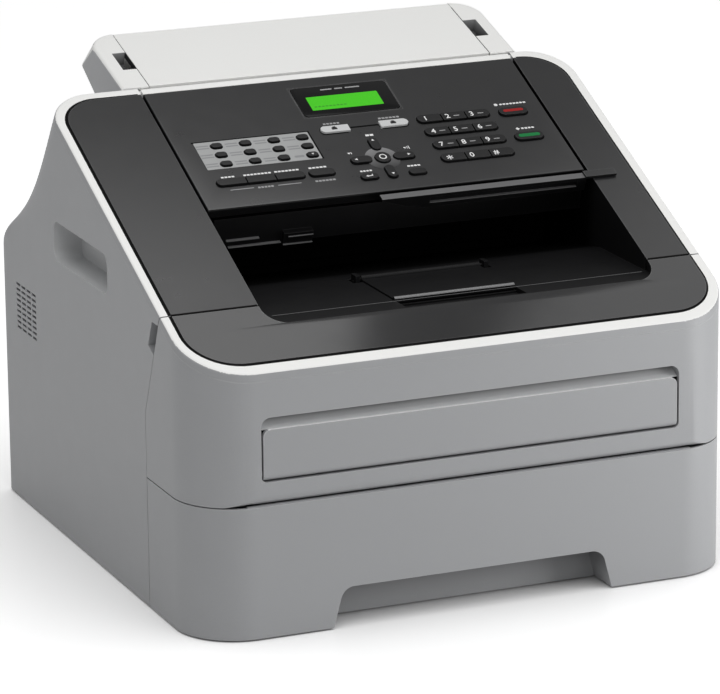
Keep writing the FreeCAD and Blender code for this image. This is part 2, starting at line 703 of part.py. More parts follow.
flap_bed = box((d.out_left - 0.6, d.out_right + 0.6), (well_edge, out_rear + 0.8),
               (well_floor - 2.5, well_floor + 12))
hinge_beds = [box((x, x + 6.5), (out_rear - 9, out_rear + 0.8), (well_floor - 2.5, well_floor + 12))
              for x in (d.out_left - 7, d.out_right + 0.5)]
bed_plate = box((d.out_left - 10, d.out_right + 10), (well_front, out_rear + 4),
                (well_floor - 6.5, well_floor - 1))
exit_slot = box((-95, 122), (well_back - 2, well_back + 5), (well_back_floor + 5, well_back_floor + 14))
flap_axis_y = out_rear - 3.6
flap_axis_z = well_floor + 0.6
flap_ears = [box((x, x + 3), (out_rear - 8, out_rear), (well_floor - 3, well_floor + 4))
             for x in (d.out_left - 5, d.out_right + 2)]
well = cut(fuse(strips, left_wall, right_wall, well_base, bed_plate), flap_bed, *hinge_beds, exit_slot)
name("top_cover", cut(fuse(well, *flap_ears),
                      rod(1.26, (d.out_left - 6, d.out_right + 6), flap_axis_y, flap_axis_z)))

# Output flap: lies in the well's floor and tips up at its front on two pins.
out_plate = box((d.out_left, d.out_right), (out_front, flap_axis_y), (well_floor - 1.7, well_floor + 0.8))
out_roll = rod(2.4, (d.out_left, d.out_right), flap_axis_y, flap_axis_z)
out_pins = rod(1.2, (d.out_left - 4.6, d.out_right + 4.6), flap_axis_y, flap_axis_z)
out_bead = rod(1.6, (d.out_left, d.out_right), out_front + 1.6, well_floor + 0.4)
name("output_flap", fuse(out_plate, out_roll, out_pins, out_bead))

# Control panel: a shallow inverted pan with openings for its keys and a seat for the display lens.
panel_profile = [
    (d.panel_front, 0),
    (dark_top - d.fit, 0),
    (dark_top - d.fit, -d.panel_skirt),
    (d.panel_front + 31, -d.panel_skirt),
    (d.panel_front + 19, -d.panel_lip),
    (d.panel_front, -d.panel_lip),
]
panel = prism("YZ", panel_profile, (d.panel_left, d.panel_right), SLOPE)
soften(panel, 1.2, lambda e: (abs(e.BoundBox.ZMax) < 1e-3 and e.BoundBox.ZLength < 1e-3
                              and e.BoundBox.YMax < dark_top.number - 5)
       or (e.BoundBox.ZLength < 1e-3 and abs(e.BoundBox.ZMax) < 1e-3 and runs_along(e, "Y")))
panel_hollow = box((d.panel_left + d.wall, d.panel_right - d.wall),
                   (d.panel_front + d.wall, dark_top - d.wall),
                   (-d.panel_skirt - 5, -d.panel_plate), SLOPE)
lens_seat = box((d.lens_left - 0.2, d.lens_right + 0.2), (d.lens_low - 0.2, d.lens_high + 0.2),
                (-1.4, 5), SLOPE)
board_posts = [post(3, x, v, (-4.7, -d.panel_plate + 0.1), SLOPE)
               for x in (-108, 137) for v in (186, 272)]

key_holes = []
pressed = {}


def key(group_name, x, v, round_left, round_right, hole=True):
    """One key cap with its flange; a rounded end is a half cylinder on that side."""
    low, high = as_size(x[0]), as_size(x[1])
    radius = (v[1] - as_size(v[0])) / 2
    middle = (v[1] + as_size(v[0])) / 2

    def slab(grow, w):
        left = low - grow + (radius + grow if round_left else 0)
        right = high + grow - (radius + grow if round_right else 0)
        parts = [box((left, right), (v[0] - as_size(grow), v[1] + as_size(grow)), w, SLOPE)]
        if round_left:
            parts.append(post(radius + grow, left, middle, w, SLOPE))
        if round_right:
            parts.append(post(radius + grow, right, middle, w, SLOPE))
        return parts

    cap = slab(as_size(0), (-3.2, d.key_rise))
    flange = slab(d.key_flange + d.key_gap if hole else as_size(0), (-3.5, -2.9))
    pressed.setdefault(group_name, []).append(fuse(*cap, *flange))
    if hole:
        key_holes.extend(slab(d.key_gap, (-10, 5)))


def upright_key(group_name, x, radius, v):
    """One key cap that runs along the slope, rounded at both ends."""
    low, high = v[0] + radius, v[1] - radius

    def slab(grow, w):
        return [box((x - radius - grow, x + radius + grow), (low, high), w, SLOPE),
                post(radius + grow, x, low, w, SLOPE), post(radius + grow, x, high, w, SLOPE)]

    cap = slab(as_size(0), (-3.2, d.key_rise))
    flange = slab(d.key_flange + d.key_gap, (-3.5, -2.9))
    pressed.setdefault(group_name, []).append(fuse(*cap, *flange))
    key_holes.extend(slab(d.key_gap, (-10, 5)))


def key_row(group_name, left, width, count, middle, height):
    """Neighbouring keys in one slot: a slit between them, rounded outer ends and one slot for all."""
    pitch = width / count
    low, high = middle - height / 2, middle + height / 2
    radius = height / 2
    for i in range(count):
        x0 = left + pitch * i + (0 if i == 0 else 0.35)
        x1 = left + pitch * (i + 1) - (0 if i == count - 1 else 0.35)
        key(group_name, (x0, x1), (low, high), i == 0, i == count - 1, hole=False)
    right = left + width
    gap = d.key_gap
    key_holes.append(box((left + radius, right - radius), (low - gap, high + gap), (-10, 5), SLOPE))
    for x in (left + radius, right - radius):
        key_holes.append(post(radius + gap, x, middle, (-10, 5), SLOPE))


for row in range(4):
    key_row("number_keys_row_%d" % (row + 1), d.number_left, d.number_width, 3,
            d.number_first - d.number_pitch * row, d.number_height)
for row in range(3):
    for column in range(4):
        x = d.touch_left + d.touch_pitch_x * column
        v = d.touch_first - d.touch_pitch_v * row
        key("one_touch_keys", (x - d.touch_width / 2, x + d.touch_width / 2),
            (v - d.touch_height / 2, v + d.touch_height / 2), True, True)
key_row("function_keys", as_size(-102.5), as_size(60), 3, as_size(184.5), as_size(6.4))
key("function_keys", (-39.2, -21.7), (181.3, 187.7), True, True)
long_half = d.cursor_length / 2
slim_half = d.cursor_width / 2
for side in (-1, 1):
    middle = d.cursor_x + d.cursor_reach * side
    key("cursor_keys", (middle - long_half, middle + long_half),
        (d.cursor_v - slim_half, d.cursor_v + slim_half), True, True)
    middle = d.cursor_v + d.cursor_reach * side
    upright_key("cursor_keys", d.cursor_x, slim_half, (middle - long_half + 1, middle + long_half - 1))
pressed["ok_key"] = [fuse(post(d.ok_radius, d.cursor_x, d.cursor_v, (-3.2, d.key_rise), SLOPE),
                          post(d.ok_radius + 1.2, d.cursor_x, d.cursor_v, (-3.5, -2.9), SLOPE))]
key_holes.append(post(d.ok_radius + d.key_gap, d.cursor_x, d.cursor_v, (-10, 5), SLOPE))
key("clear_key", (-6.8, 4.9), (172.4, 177.8), True, True)
key("menu_key", (26.8, 38.5), (172.4, 177.8), True, True)
key("fax_key", (-15.1, 4.8), (224.1, 230.5), True, False)
key("copy_key", (26.4, 46.4), (224.1, 230.5), False, True)
key("stop_key", (111.8, 131.8), (223.2, 230.8), True, True)
key("start_key", (111.8, 131.8), (195.7, 203.3), True, True)

panel_body = cut(fuse(cut(panel, panel_hollow), *board_posts), lens_seat, group(*key_holes))
name("control_panel", panel_body)
for group_name, caps in pressed.items():
    name(group_name, caps[0] if len(caps) == 1 else group(*caps))
name("control_board", box((-112, 141), (182, 276), (-5.9, -4.7), SLOPE))
name("display_lens", box((d.lens_left, d.lens_right), (d.lens_low, d.lens_high), (-1.4, 0.4), SLOPE))

# Panel strip: the pale rear edge of the panel, rounded about the hinge pins at its ends.
strip = prism("YZ", [(dark_top, 0), (d.slope_length, 0), (d.slope_length, -2 * d.panel_pivot),
                     (dark_top, -2 * d.panel_pivot)], (d.panel_left, d.panel_right), SLOPE)
strip_rear = d.slope_length.number
soften(strip, d.panel_pivot - 0.05, lambda e: runs_along(e, "X") and e.BoundBox.YMax > strip_rear - 0.01)
strip_pins = rod(1.5, (d.panel_left - 4.6, d.panel_right + 4.6), pivot_v, -d.panel_pivot, SLOPE)
name("panel_strip", fuse(strip, strip_pins))

# Scanner frame: the lower half of the document path under the panel, with seats for the sensor and
# the roller.
scan_profile = [
    (d.panel_front + 2, -10),
    (d.panel_front + 62, -10),
    (d.panel_front + 65, -16.5),
    (dark_top - 1, -16.5),
    (dark_top - 1, -42),
    (d.panel_front + 22, -42),
    (d.panel_front - 2, -30),
]
scan_left = d.well_left + 0.4
scan_right = d.well_right - 0.4
scan = prism("YZ", scan_profile, (scan_left, scan_right), SLOPE)
scan_hollow = box((scan_left + 2.5, scan_right - 2.5), (d.panel_front + 24, dark_top - 3.5), (-60, -32),
                  SLOPE)
side_relief = [box((x, x + 8), (d.panel_front - 10, dark_top + 5), (-16.5, 5), SLOPE)
               for x in (scan_left - 0.5, scan_right - 7.5)]
sensor_v = d.panel_front + 80
roller_v = d.panel_front + 106
sensor_seat = box((-102, 130), (sensor_v - 9.4, sensor_v + 9.4), (-31.9, 5), SLOPE)
roller_seat = box((-84, 112), (roller_v - 9, roller_v + 9), (-40, 5), SLOPE)
roller_bore = rod(3.06, (scan_left - 5, scan_right + 5), roller_v, -23.7, SLOPE)
rail_slot = box((d.support_left + 1.5, d.support_right - 1.5), (d.panel_front - 10, d.panel_front + 63),
                (-10.2, 5), SLOPE)
front_tab = box((-64, -44), (d.panel_front - 4.5, d.panel_front), (-30, -22), SLOPE)
name("scanner_frame", fuse(cut(scan, scan_hollow, *side_relief, sensor_seat, roller_seat, roller_bore,
                               rail_slot),
                           front_tab))
name("image_sensor", box((-101.7, 129.7), (sensor_v - 9.1, sensor_v + 9.1), (-31.6, -16.9), SLOPE))
name("document_roller", fuse(rod(6.8, (-80, 108), roller_v, -23.7, SLOPE),
                             rod(3, (scan_left + 0.4, scan_right - 0.4), roller_v, -23.7, SLOPE)))

# Document support: a plate that pulls out down the slope from under the panel, with a grip bar and
# two wings.
bar_rear = d.panel_front - 4
bar = box((d.support_left, d.support_right), (d.support_front, bar_rear), (-9.4, 0.8), SLOPE)
bar_groove = box((d.support_left + 6, d.support_right - 6), (d.support_front - 1, d.support_front + 2),
                 (-6, -1.6), SLOPE)
blade = box((d.support_left + 2, d.support_right - 2), (d.support_front, d.panel_front + 55),
            (-9.4, -6.9), SLOPE)
right_wing = box((d.support_right - 1, d.support_right + 21), (d.support_front - 1, bar_rear),
                 (0.5, 2.2), SLOPE)
left_wing_points = [(d.support_left + 1, 0.8), (d.support_left - 28, 0.8), (d.support_left - 28, -0.6),
                    (d.support_left - 10, -7), (d.support_left + 1, -8)]
left_wing = prism("XZ", left_wing_points, (d.support_front, bar_rear), SLOPE)
name("document_support", fuse(cut(bar, bar_groove), blade, right_wing, left_wing))

# Document tray: the raised slab at the rear, open in the middle for the sheets and the flap over them.
tray_front = ridge_y + 1.0
slab_gap = d.fit * rear_stretch
end_y, end_z = frame_point(DOC, d.doc_length, as_size(0))
slab = prism("YZ", [
    (tray_front, rear_z(tray_front) + slab_gap),
    (ridge_y + 26, rear_z(ridge_y + 26) + slab_gap),
    (end_y + 10, end_z - 19),
    (end_y, end_z),
    (tray_front, ridge_z + 0.4),
], (d.doc_left, d.doc_right))
end_number = end_y.number
soften(slab, d.doc_corner, lambda e: e.BoundBox.XLength < 1e-3
       and abs(e.BoundBox.YMin - end_number) < 1e-3)
soften(slab, 3, lambda e: e.BoundBox.ZMax > end_z.number - 0.01 and e.BoundBox.ZMin > ridge_z.number
       and not (e.BoundBox.YMin > end_number + 0.5))
flap_left = d.doc_left + d.doc_border
flap_right = d.doc_right - d.doc_border
doc_hole = box((flap_left, flap_right), (-20, d.doc_length + 30), (-d.doc_recess, 40), DOC)
pockets = [box(x, (20, 39), (-9, 10), DOC)
           for x in ((flap_left - 14.5, flap_left + 1), (flap_right - 1, flap_right + 14.5))]
hinge_t = d.doc_length - 3.2
name("document_tray", cut(slab, doc_hole, *pockets,
                          rod(1.56, (flap_left - 4, flap_right + 4), hinge_t, -3, DOC)))

# Document flap: covers the sheets' bed and folds back on pins at its rear edge.
lid = box((flap_left + 0.5, flap_right - 0.5), (0.4, hinge_t), (-d.flap_plate, 0), DOC)
name("document_flap", fuse(lid, rod(3, (flap_left + 0.5, flap_right - 0.5), hinge_t, -3, DOC),
                           rod(1.5, (flap_left - 3, flap_right + 3), hinge_t, -3, DOC)))

# Document guides: two sliding angles on the bed.
bed = -d.doc_recess + d.fit
for label, sign in (("document_guide_left", 1), ("document_guide_right", -1)):
    edge = flap_left + 14 if sign > 0 else flap_right - 14
    fin = (edge - 2, edge) if sign > 0 else (edge, edge + 2)
    foot = (edge - 2, edge + 24) if sign > 0 else (edge - 24, edge + 2)
    name(label, fuse(box(fin, (26, 60), (bed, -4.4), DOC), box(foot, (26, 60), (bed, bed + 1.5), DOC)))

# Paper tray: a full-width front with a grip below, and the bin behind it.
tray_zone = box((-half_w - 5, half_w + 5), (-half_d - 5, d.tray_wrap - half_d - d.seam / 2),
                (d.floor_gap, d.tray_height))
tray_hollow = cut(inner, box((-half_w, half_w), (-half_d, half_d), (-10, d.floor_gap + 3)))
tray_shell = cut(common(outer, tray_zone), tray_hollow)
bin_low = d.floor_gap
bin_box = cut(box((-d.bin_half, d.bin_half), (bin_front, bin_rear), (bin_low, d.bin_height)),
              box((-d.bin_half + 2.5, d.bin_half - 2.5), (bin_front + 2.5, bin_rear - 2.5),
                  (bin_low + 3, 100)))
rails = [box(sided(s, d.bin_half - 1, d.bin_half + 2.4), (96 - half_d, bin_rear),
             (d.bin_height - 4, d.bin_height))
         for s in (-1, 1)]


def grip_outline(grow):
    return [(-d.notch_low - grow, -5), (d.notch_low + grow, -5),
            (d.notch_high + grow, d.notch_height + grow),
            (-d.notch_high - grow, d.notch_height + grow)]


alcove_rear = d.notch_depth - half_d
alcove = common(prism("XZ", grip_outline(2.5), (-half_d, alcove_rear + 2.5)), outer)
grip_cut = prism("XZ", grip_outline(0), (-half_d - 5, alcove_rear))
soften(grip_cut, d.notch_round, lambda e: runs_along(e, "Y") and e.BoundBox.ZMin > 10)
lift_axis_y = 182 - half_d
lift_axis_z = bin_low + 7
lift_posts = [box(sided(s, 102.5, 106), (lift_axis_y - 5, lift_axis_y + 5),
                  (bin_low + 1, bin_low + 11)) for s in (-1, 1)]
name("paper_tray", cut(fuse(tray_shell, bin_box, alcove, *rails, *lift_posts), grip_cut,
                       rod(2.06, (-105.5, 105.5), lift_axis_y, lift_axis_z)))

# Lift plate: raises the front of the paper stack on a hinge in the bin.
name("lift_plate", fuse(box((-102, 102), (bin_front + 7, lift_axis_y),
                            (lift_axis_z - 0.8, lift_axis_z + 0.8)),
                        rod(2, (-105.2, 105.2), lift_axis_y, lift_axis_z)))

# Paper guides: side angles and a rear stop on the bin's floor.
bin_floor = bin_low + 3 + d.fit
for label, sign in (("paper_guide_left", -1), ("paper_guide_right", 1)):
    name(label, fuse(box(sided(sign, 108.5, 111), (18, 92), (bin_floor, 42), ENGINE),
                     box(sided(sign, 108.5, 140), (30, 80), (bin_floor, bin_floor + 2), ENGINE)))
name("length_guide", fuse(box((-22, 22), (153, 156), (bin_floor, 42), BACK),
                          box((-16, 16), (112, 154), (bin_floor, bin_floor + 2), BACK)))

# Base frame: a deck over the paper tray on two legs, with ledges in the legs that the tray runs on.
leg = 160
frame_front = d.tray_wrap - half_d + 7
frame_rear = half_d - d.corner_foot - 4
deck_half = half_w - d.wall - d.fit
post_rear = half_d - d.wall - d.fit
pickup_y = 128 - half_d
pickup_z = d.deck_high + 6
deck = cut(box((-deck_half, deck_half), (frame_front, frame_rear), (d.deck_low, d.deck_high)),
           box((-34, 34), (pickup_y - 18, pickup_y + 18), (d.deck_low - 5, d.deck_high + 5)))
legs = []
for s in (-1, 1):
    beam = box(sided(s, leg, leg + 12), (frame_front, frame_rear), (d.floor_gap, d.deck_low))
    ledge = box(sided(s, leg - 2.1, leg + 1), (frame_front, half_d - 20),
                (d.bin_height - 8, d.bin_height - 4.4))
    screw_post = box(sided(s, screw_x - 6, leg + 1), (half_d - 13.6, post_rear),
                     (screw_low - 6, d.deck_low))
    legs.append(cut(fuse(beam, ledge, screw_post),
                    peg(1.8, screw_x * s, (half_d - 20, half_d), screw_low)))
name("base_frame", group(deck, *legs))

# Side frames: plates on the deck that carry the print engine, and the arms for the front cover's hinge.
wide = d.frame_half + 10
gear_distance = d.gear_module * (d.drum_teeth + d.pinion_teeth) / 2 + 0.1
motor_y = drum_y + gear_distance * 0.8660254
motor_z = d.drum_z + gear_distance * 0.5
frames = []
for s in (-1, 1):
    plate = box(sided(s, d.frame_half, d.frame_half + d.frame_plate), (110 - half_d, half_d - 30),
                (d.deck_high, d.frame_high))
    screw_post = box(sided(s, d.frame_half + 1, screw_x + 6), (half_d - 40, post_rear),
                     (screw_high - 6, screw_high + 6))
    frames.append(cut(fuse(plate, screw_post), peg(1.8, screw_x * s, (half_d - 20, half_d), screw_high),
                      rod(4.06, (-wide, wide), drum_y, d.drum_z),
                      rod(4.06, (-wide, wide), pickup_y, pickup_z),
                      rod(2.5, (d.frame_half - 5, wide), motor_y, motor_z)))
    reach = sided(s, hinge_x, hinge_x + 4)
    arm = fuse(box(reach, (cover_axis_y, frame_front + 9), (cover_axis_z - 3.4, cover_axis_z + 3.4)),
               box(reach, (frame_front, frame_front + 9), (d.deck_high, cover_axis_z + 3.4)),
               rod(3.4, reach, cover_axis_y, cover_axis_z))
    frames.append(cut(arm, rod(2.06, sided(s, hinge_x - 2, hinge_x + 6), cover_axis_y, cover_axis_z)))
name("side_frames", group(*frames))
name("feet", group(*[box(sided(s, 161.5, 170.5), (y, y + 12), (0, d.floor_gap)) for s in (-1, 1)
                     for y in (100 - half_d, half_d - 30)]))
name("screws", group(*[fuse(peg(3.6, x, (half_d - d.wall, half_d - 0.6), z),
                            peg(1.7, x, (half_d - 16, half_d - d.wall), z)) for x, z in screw_spots]))


# Print engine: drum, toner, laser unit, fuser, pickup roller and the motor that drives the drum.
def gear(teeth, x, turn):
    """Spur gear about its own X axis: a disc, one tooth and the ring of its copies."""
    body = doc.addObject("PartDesign::Body", "gear")
    planes = {f.Role: f for f in body.Origin.OriginFeatures}
    sketch = body.newObject("Sketcher::SketchObject", "disc")
    sketch.AttachmentSupport = [(planes["YZ_Plane"], "")]
    sketch.MapMode = "FlatFace"
    foot = d.gear_module * teeth / 2 - d.gear_module * 1.25
    sketch.addGeometry(Part.Circle(Vector(), Vector(0, 0, 1), foot.number), False)
    sketch.addConstraint(Sketcher.Constraint("Coincident", 0, 3, -1, 1))
    index = sketch.addConstraint(Sketcher.Constraint("Radius", 0, foot.number))
    sketch.setExpression("Constraints[%d]" % index, foot.formula)
    disc = body.newObject("PartDesign::Pad", "disc_pad")
    disc.Profile = (sketch, [""])
    bind(disc, "Length", x[1] - as_size(x[0]))
    tooth = body.newObject("Sketcher::SketchObject", "tooth")
    tooth.AttachmentSupport = [(planes["YZ_Plane"], "")]
    tooth.MapMode = "FlatFace"
    tip = d.gear_module * teeth / 2 + d.gear_module * 0.85
    low_half = d.gear_module * 1.1
    tip_half = d.gear_module * 0.34
    outline(tooth, [(low_half, foot - 0.5), (tip_half, tip), (-tip_half, tip), (-low_half, foot - 0.5)])
    pad = body.newObject("PartDesign::Pad", "tooth_pad")
    pad.Profile = (tooth, [""])
    bind(pad, "Length", x[1] - as_size(x[0]))
    doc.recompute()
    ring_of_teeth = body.newObject("PartDesign::PolarPattern", "teeth")
    ring_of_teeth.Originals = [pad]
    ring_of_teeth.Axis = (planes["X_Axis"], [""])
    ring_of_teeth.Angle = 360
    ring_of_teeth.Occurrences = int(teeth.number)
    body.Tip = ring_of_teeth
    body.Placement = Placement(Vector(), Rotation(Vector(1, 0, 0), turn))
    return body


def seat_gear(body, x, y, z):
    bind(body, "Placement.Base.x", x)
    bind(body, "Placement.Base.y", y)
    bind(body, "Placement.Base.z", z)
    return body


gear_x = (d.frame_half + d.frame_plate + 1, d.frame_half + d.frame_plate + 7)
mesh_turn = -60
drum_gear = seat_gear(gear(d.drum_teeth, gear_x, mesh_turn), gear_x[0], drum_y, d.drum_z)
half_pitch = 180 / d.pinion_teeth.number
pinion_gear = seat_gear(gear(d.pinion_teeth, gear_x, mesh_turn + 180 + half_pitch), gear_x[0], motor_y,
                        motor_z)
drum_ends = d.frame_half + d.frame_plate + 0.6
name("photo_drum", fuse(rod(d.drum_radius, (-118, 118), drum_y, d.drum_z),
                        rod(4, (-drum_ends, gear_x[1]), drum_y, d.drum_z), drum_gear))
motor_x = gear_x[1] + 1
name("motor_pinion", fuse(pinion_gear, rod(1.9, (d.frame_half + 1, motor_x + 5), motor_y, motor_z)))
motor_posts = [rod(3, (d.frame_half + d.frame_plate, motor_x + 1), motor_y + a * 17, motor_z + b * 17)
               for a, b in ((1, 1), (1, -1), (-1, 1))]
name("main_motor", cut(fuse(box((motor_x, motor_x + 2), (motor_y - 21, motor_y + 21),
                                (motor_z - 21, motor_z + 21)),
                            rod(18, (motor_x + 1, motor_x + 22), motor_y, motor_z), *motor_posts),
                       rod(1.96, (motor_x - 1, motor_x + 6), motor_y, motor_z)))
engine = d.frame_half - 0.4
name("drum_unit", cut(box((-engine, engine), (-22, 52), (78, 122), ENGINE),
                      rod(d.drum_radius + 1, (-119, 119), drum_y, d.drum_z),
                      rod(4.3, (-wide, wide), drum_y, d.drum_z),
                      box((-119, 119), (drum_y - 9, drum_y + 9), (70, d.drum_z))))
cartridge = prism("YZ", [(-106, 100), (-96, 92), (-23, 92), (-23, 128), (-50, 146), (-100, 146),
                         (-106, 140)], (-engine, engine), ENGINE)
name("toner_cartridge", cartridge)
name("laser_unit", cut(box((-engine, engine), (-18, 84), (124, 158), ENGINE),
                       box((-engine + 3, engine - 3), (-15, 81), (127, 155), ENGINE),
                       box((-110, 110), (8, 22), (120, 130), ENGINE)))
fuser_top = d.fuser_z + d.roller_radius * 2 + 0.7
fuser_shell = cut(box((-engine, engine), (fuser_y - 22, fuser_y + 22),
                      (d.deck_high + d.fit, fuser_top + 20)),
                  box((-118, 118), (fuser_y - 16, fuser_y + 16), (d.deck_high + 3, fuser_top + 16)),
                  box((-118, 118), (fuser_y - 30, fuser_y + 30), (d.fuser_z + 7, fuser_top - 6)),
                  rod(5.06, (-132, 132), fuser_y, d.fuser_z), rod(5.06, (-132, 132), fuser_y, fuser_top))
name("fuser_frame", fuser_shell)
for label, z in (("pressure_roller", d.fuser_z), ("heat_roller", fuser_top)):
    name(label, fuse(rod(d.roller_radius, (-114, 114), fuser_y, z), rod(5, (-131, 131), fuser_y, z)))
name("pickup_roller", fuse(rod(15, (-28, 28), pickup_y, pickup_z),
                           rod(4, (-drum_ends, drum_ends), pickup_y, pickup_z)))

# Electronics: main board and supply on the left, the speaker behind the vents and the sockets in
# the rear panel.
board_x = -d.frame_half - d.frame_plate - 14
board_feet = [rod(3, (board_x, -d.frame_half - d.frame_plate), y, z, ENGINE) for y in (-50, 90)
              for z in (82, 152)]
chips = [box((board_x - 5, board_x - 1.2), (y, y + 22), (z, z + 22), ENGINE) for y,
         z in ((-30, 95), (10, 120), (50, 95))]
name("main_board", fuse(box((board_x - 1.6, board_x), (-60, 100), (74, 160), ENGINE), *board_feet,
                        *chips))
name("power_supply", box((-178, -148), (106, 165), (d.deck_high + d.fit, 112), BACK))
vent_mid_y = vent_y + d.vent_pitch_y * 2
name("speaker", fuse(rod(19, (-half_w + d.wall + d.fit, -half_w + d.wall + 5), vent_mid_y, 136),
                     rod(11, (-half_w + d.wall + 4, -half_w + d.wall + 16), vent_mid_y, 136)))
inlet = cut(box((inlet_x - 14, inlet_x + 14), (half_d - 14, half_d - 0.2), (71, 95)),
            box((inlet_x - 11, inlet_x + 11), (half_d - 11, half_d + 2), (74, 92)))
jacks = cut(box((sockets_x - 16, sockets_x + 16), (half_d - 16, half_d - 0.2), (71, 88)),
            *[box((sockets_x + x - 6, sockets_x + x + 6), (half_d - 13, half_d + 2), (74, 84))
              for x in (-8, 8)])
name("rear_sockets", group(inlet, jacks))

doc.recompute()
faults = []
for obj in doc.Objects:
    if "Invalid" in obj.State or "Error" in obj.State:
        faults.append(obj.Name + " " + obj.TypeId)
for obj in finished:
    if obj.Shape.isNull() or not obj.Shape.isValid() or obj.Shape.Volume < 1:
        faults.append(obj.Label + " has no valid shape")
if faults:
    raise RuntimeError("; ".join(faults))
os.makedirs("parts", exist_ok=True)
for obj in finished:
    obj.Shape.exportStep("parts/%s.step" % obj.Label)
print(len(finished), "pieces")
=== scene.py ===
import math

import bmesh
import bpy
from mathutils import Matrix, Vector


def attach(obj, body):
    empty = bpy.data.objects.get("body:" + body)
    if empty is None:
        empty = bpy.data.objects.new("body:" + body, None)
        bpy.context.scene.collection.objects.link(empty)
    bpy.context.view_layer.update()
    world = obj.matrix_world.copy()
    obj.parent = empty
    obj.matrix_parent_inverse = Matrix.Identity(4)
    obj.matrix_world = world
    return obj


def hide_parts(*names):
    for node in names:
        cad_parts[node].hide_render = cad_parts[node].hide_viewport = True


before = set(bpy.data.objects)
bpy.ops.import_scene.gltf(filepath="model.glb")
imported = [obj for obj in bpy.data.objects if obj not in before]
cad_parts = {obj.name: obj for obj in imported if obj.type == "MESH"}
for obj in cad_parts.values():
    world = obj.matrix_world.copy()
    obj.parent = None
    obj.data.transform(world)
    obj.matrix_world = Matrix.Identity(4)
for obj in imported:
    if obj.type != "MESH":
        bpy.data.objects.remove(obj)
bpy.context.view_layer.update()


# Chassis: the deck, the legs and the sheet guides, moulded in black ABS with a matt eroded skin.
# They are screwed and clipped together inside the covers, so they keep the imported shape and
# get the moulded finish that all the plastic pieces share.
def shader_group(title, inputs, outputs):
    """A shader node group with the sockets that are named, and its input and output nodes."""
    group = bpy.data.node_groups.new(title, "ShaderNodeTree")
    for socket, kind, value in inputs:
        made = group.interface.new_socket(socket, in_out="INPUT", socket_type="NodeSocket" + kind)
        made.default_value = value
    for socket, kind in outputs:
        group.interface.new_socket(socket, in_out="OUTPUT", socket_type="NodeSocket" + kind)
    return group, group.nodes.new("NodeGroupInput"), group.nodes.new("NodeGroupOutput")


def set_inputs(node, values):
    """Sets the inputs of a node that are named."""
    for socket, value in values.items():
        node.inputs[socket].default_value = value


def object_place(tree):
    """The place on the piece that is being shaded."""
    return tree.nodes.new("ShaderNodeTexCoord").outputs["Object"]


def noise(tree, place, scale, detail):
    """A noise pattern read at a place, as a value of 0 to 1."""
    node = tree.nodes.new("ShaderNodeTexNoise")
    set_inputs(node, {"Scale": scale, "Detail": detail})
    tree.links.new(place, node.inputs["Vector"])
    return node.outputs["Fac"]


def feed(tree, socket, value):
    """Gives a socket a plain value, or links it to another socket."""
    if isinstance(value, (int, float, tuple)):
        socket.default_value = value
    else:
        tree.links.new(value, socket)


def maths(tree, operation, *values, clamp=False):
    """The result of one operation on two or three values."""
    node = tree.nodes.new("ShaderNodeMath")
    node.operation = operation
    node.use_clamp = clamp
    for socket, value in zip(node.inputs, values):
        feed(tree, socket, value)
    return node.outputs["Value"]


def blend(tree, kind, factor, first, second):
    """Two colours laid over each other."""
    node = tree.nodes.new("ShaderNodeMix")
    node.data_type = "RGBA"
    node.blend_type = kind
    feed(tree, node.inputs[0], factor)
    feed(tree, node.inputs[6], first)
    feed(tree, node.inputs[7], second)
    return node.outputs[2]


moulded_skin, skin_in, skin_out = shader_group(
    "moulded_skin",
    [("Colour", "Color", (0.5, 0.5, 0.5, 1)), ("Drift", "Float", 0.06), ("Grain", "Float", 1600.0),
     ("Rough", "Float", 0.5), ("Spread", "Float", 0.1), ("Worn and lit edge", "Color", (0.8, 0.8, 0.8, 1)),
     ("Wear and highlight", "Float", 0.1)],
    [("Colour", "Color"), ("Roughness", "Float"), ("Height", "Float")])
skin_place = object_place(moulded_skin)
cloudy = noise(moulded_skin, skin_place, 13.0, 2.0)
handled = noise(moulded_skin, skin_place, 70.0, 4.0)
eroded = noise(moulded_skin, skin_place, 1600.0, 2.0)
moulded_skin.links.new(skin_in.outputs["Grain"], eroded.node.inputs["Scale"])
tint = maths(moulded_skin, "MULTIPLY_ADD", maths(moulded_skin, "SUBTRACT", cloudy, 0.5),
             skin_in.outputs["Drift"], 1.0)
fleck = maths(moulded_skin, "MULTIPLY_ADD", eroded, 0.08, 0.96)
shaded = moulded_skin.nodes.new("ShaderNodeHueSaturation")
moulded_skin.links.new(skin_in.outputs["Colour"], shaded.inputs["Color"])
moulded_skin.links.new(maths(moulded_skin, "MULTIPLY", tint, fleck), shaded.inputs["Value"])
# Along the edges the colour turns lighter, as wear and as a painted highlight.
rounding = moulded_skin.nodes.new("ShaderNodeBevel")
rounding.samples = 4
rounding.inputs["Radius"].default_value = 0.0009
facing = moulded_skin.nodes.new("ShaderNodeVectorMath")
facing.operation = "DOT_PRODUCT"
moulded_skin.links.new(rounding.outputs["Normal"], facing.inputs[0])
moulded_skin.links.new(moulded_skin.nodes.new("ShaderNodeNewGeometry").outputs["Normal"], facing.inputs[1])
turned = maths(moulded_skin, "SUBTRACT", 1.0, facing.outputs["Value"])
edge_mask = maths(moulded_skin, "MULTIPLY", turned, 6.0, clamp=True)
rubbed_and_lit_edges = maths(moulded_skin, "MULTIPLY", edge_mask, handled)
wear_and_highlight_mask = maths(moulded_skin, "MULTIPLY", rubbed_and_lit_edges, skin_in.outputs["Wear and highlight"], clamp=True)
skin_shade = blend(moulded_skin, "MIX", wear_and_highlight_mask, shaded.outputs["Color"], skin_in.outputs["Worn and lit edge"])
sheen = maths(moulded_skin, "MULTIPLY_ADD", maths(moulded_skin, "SUBTRACT", handled, 0.5),
              skin_in.outputs["Spread"], skin_in.outputs["Rough"])
moulded_skin.links.new(skin_shade, skin_out.inputs["Colour"])
moulded_skin.links.new(sheen, skin_out.inputs["Roughness"])
moulded_skin.links.new(eroded, skin_out.inputs["Height"])


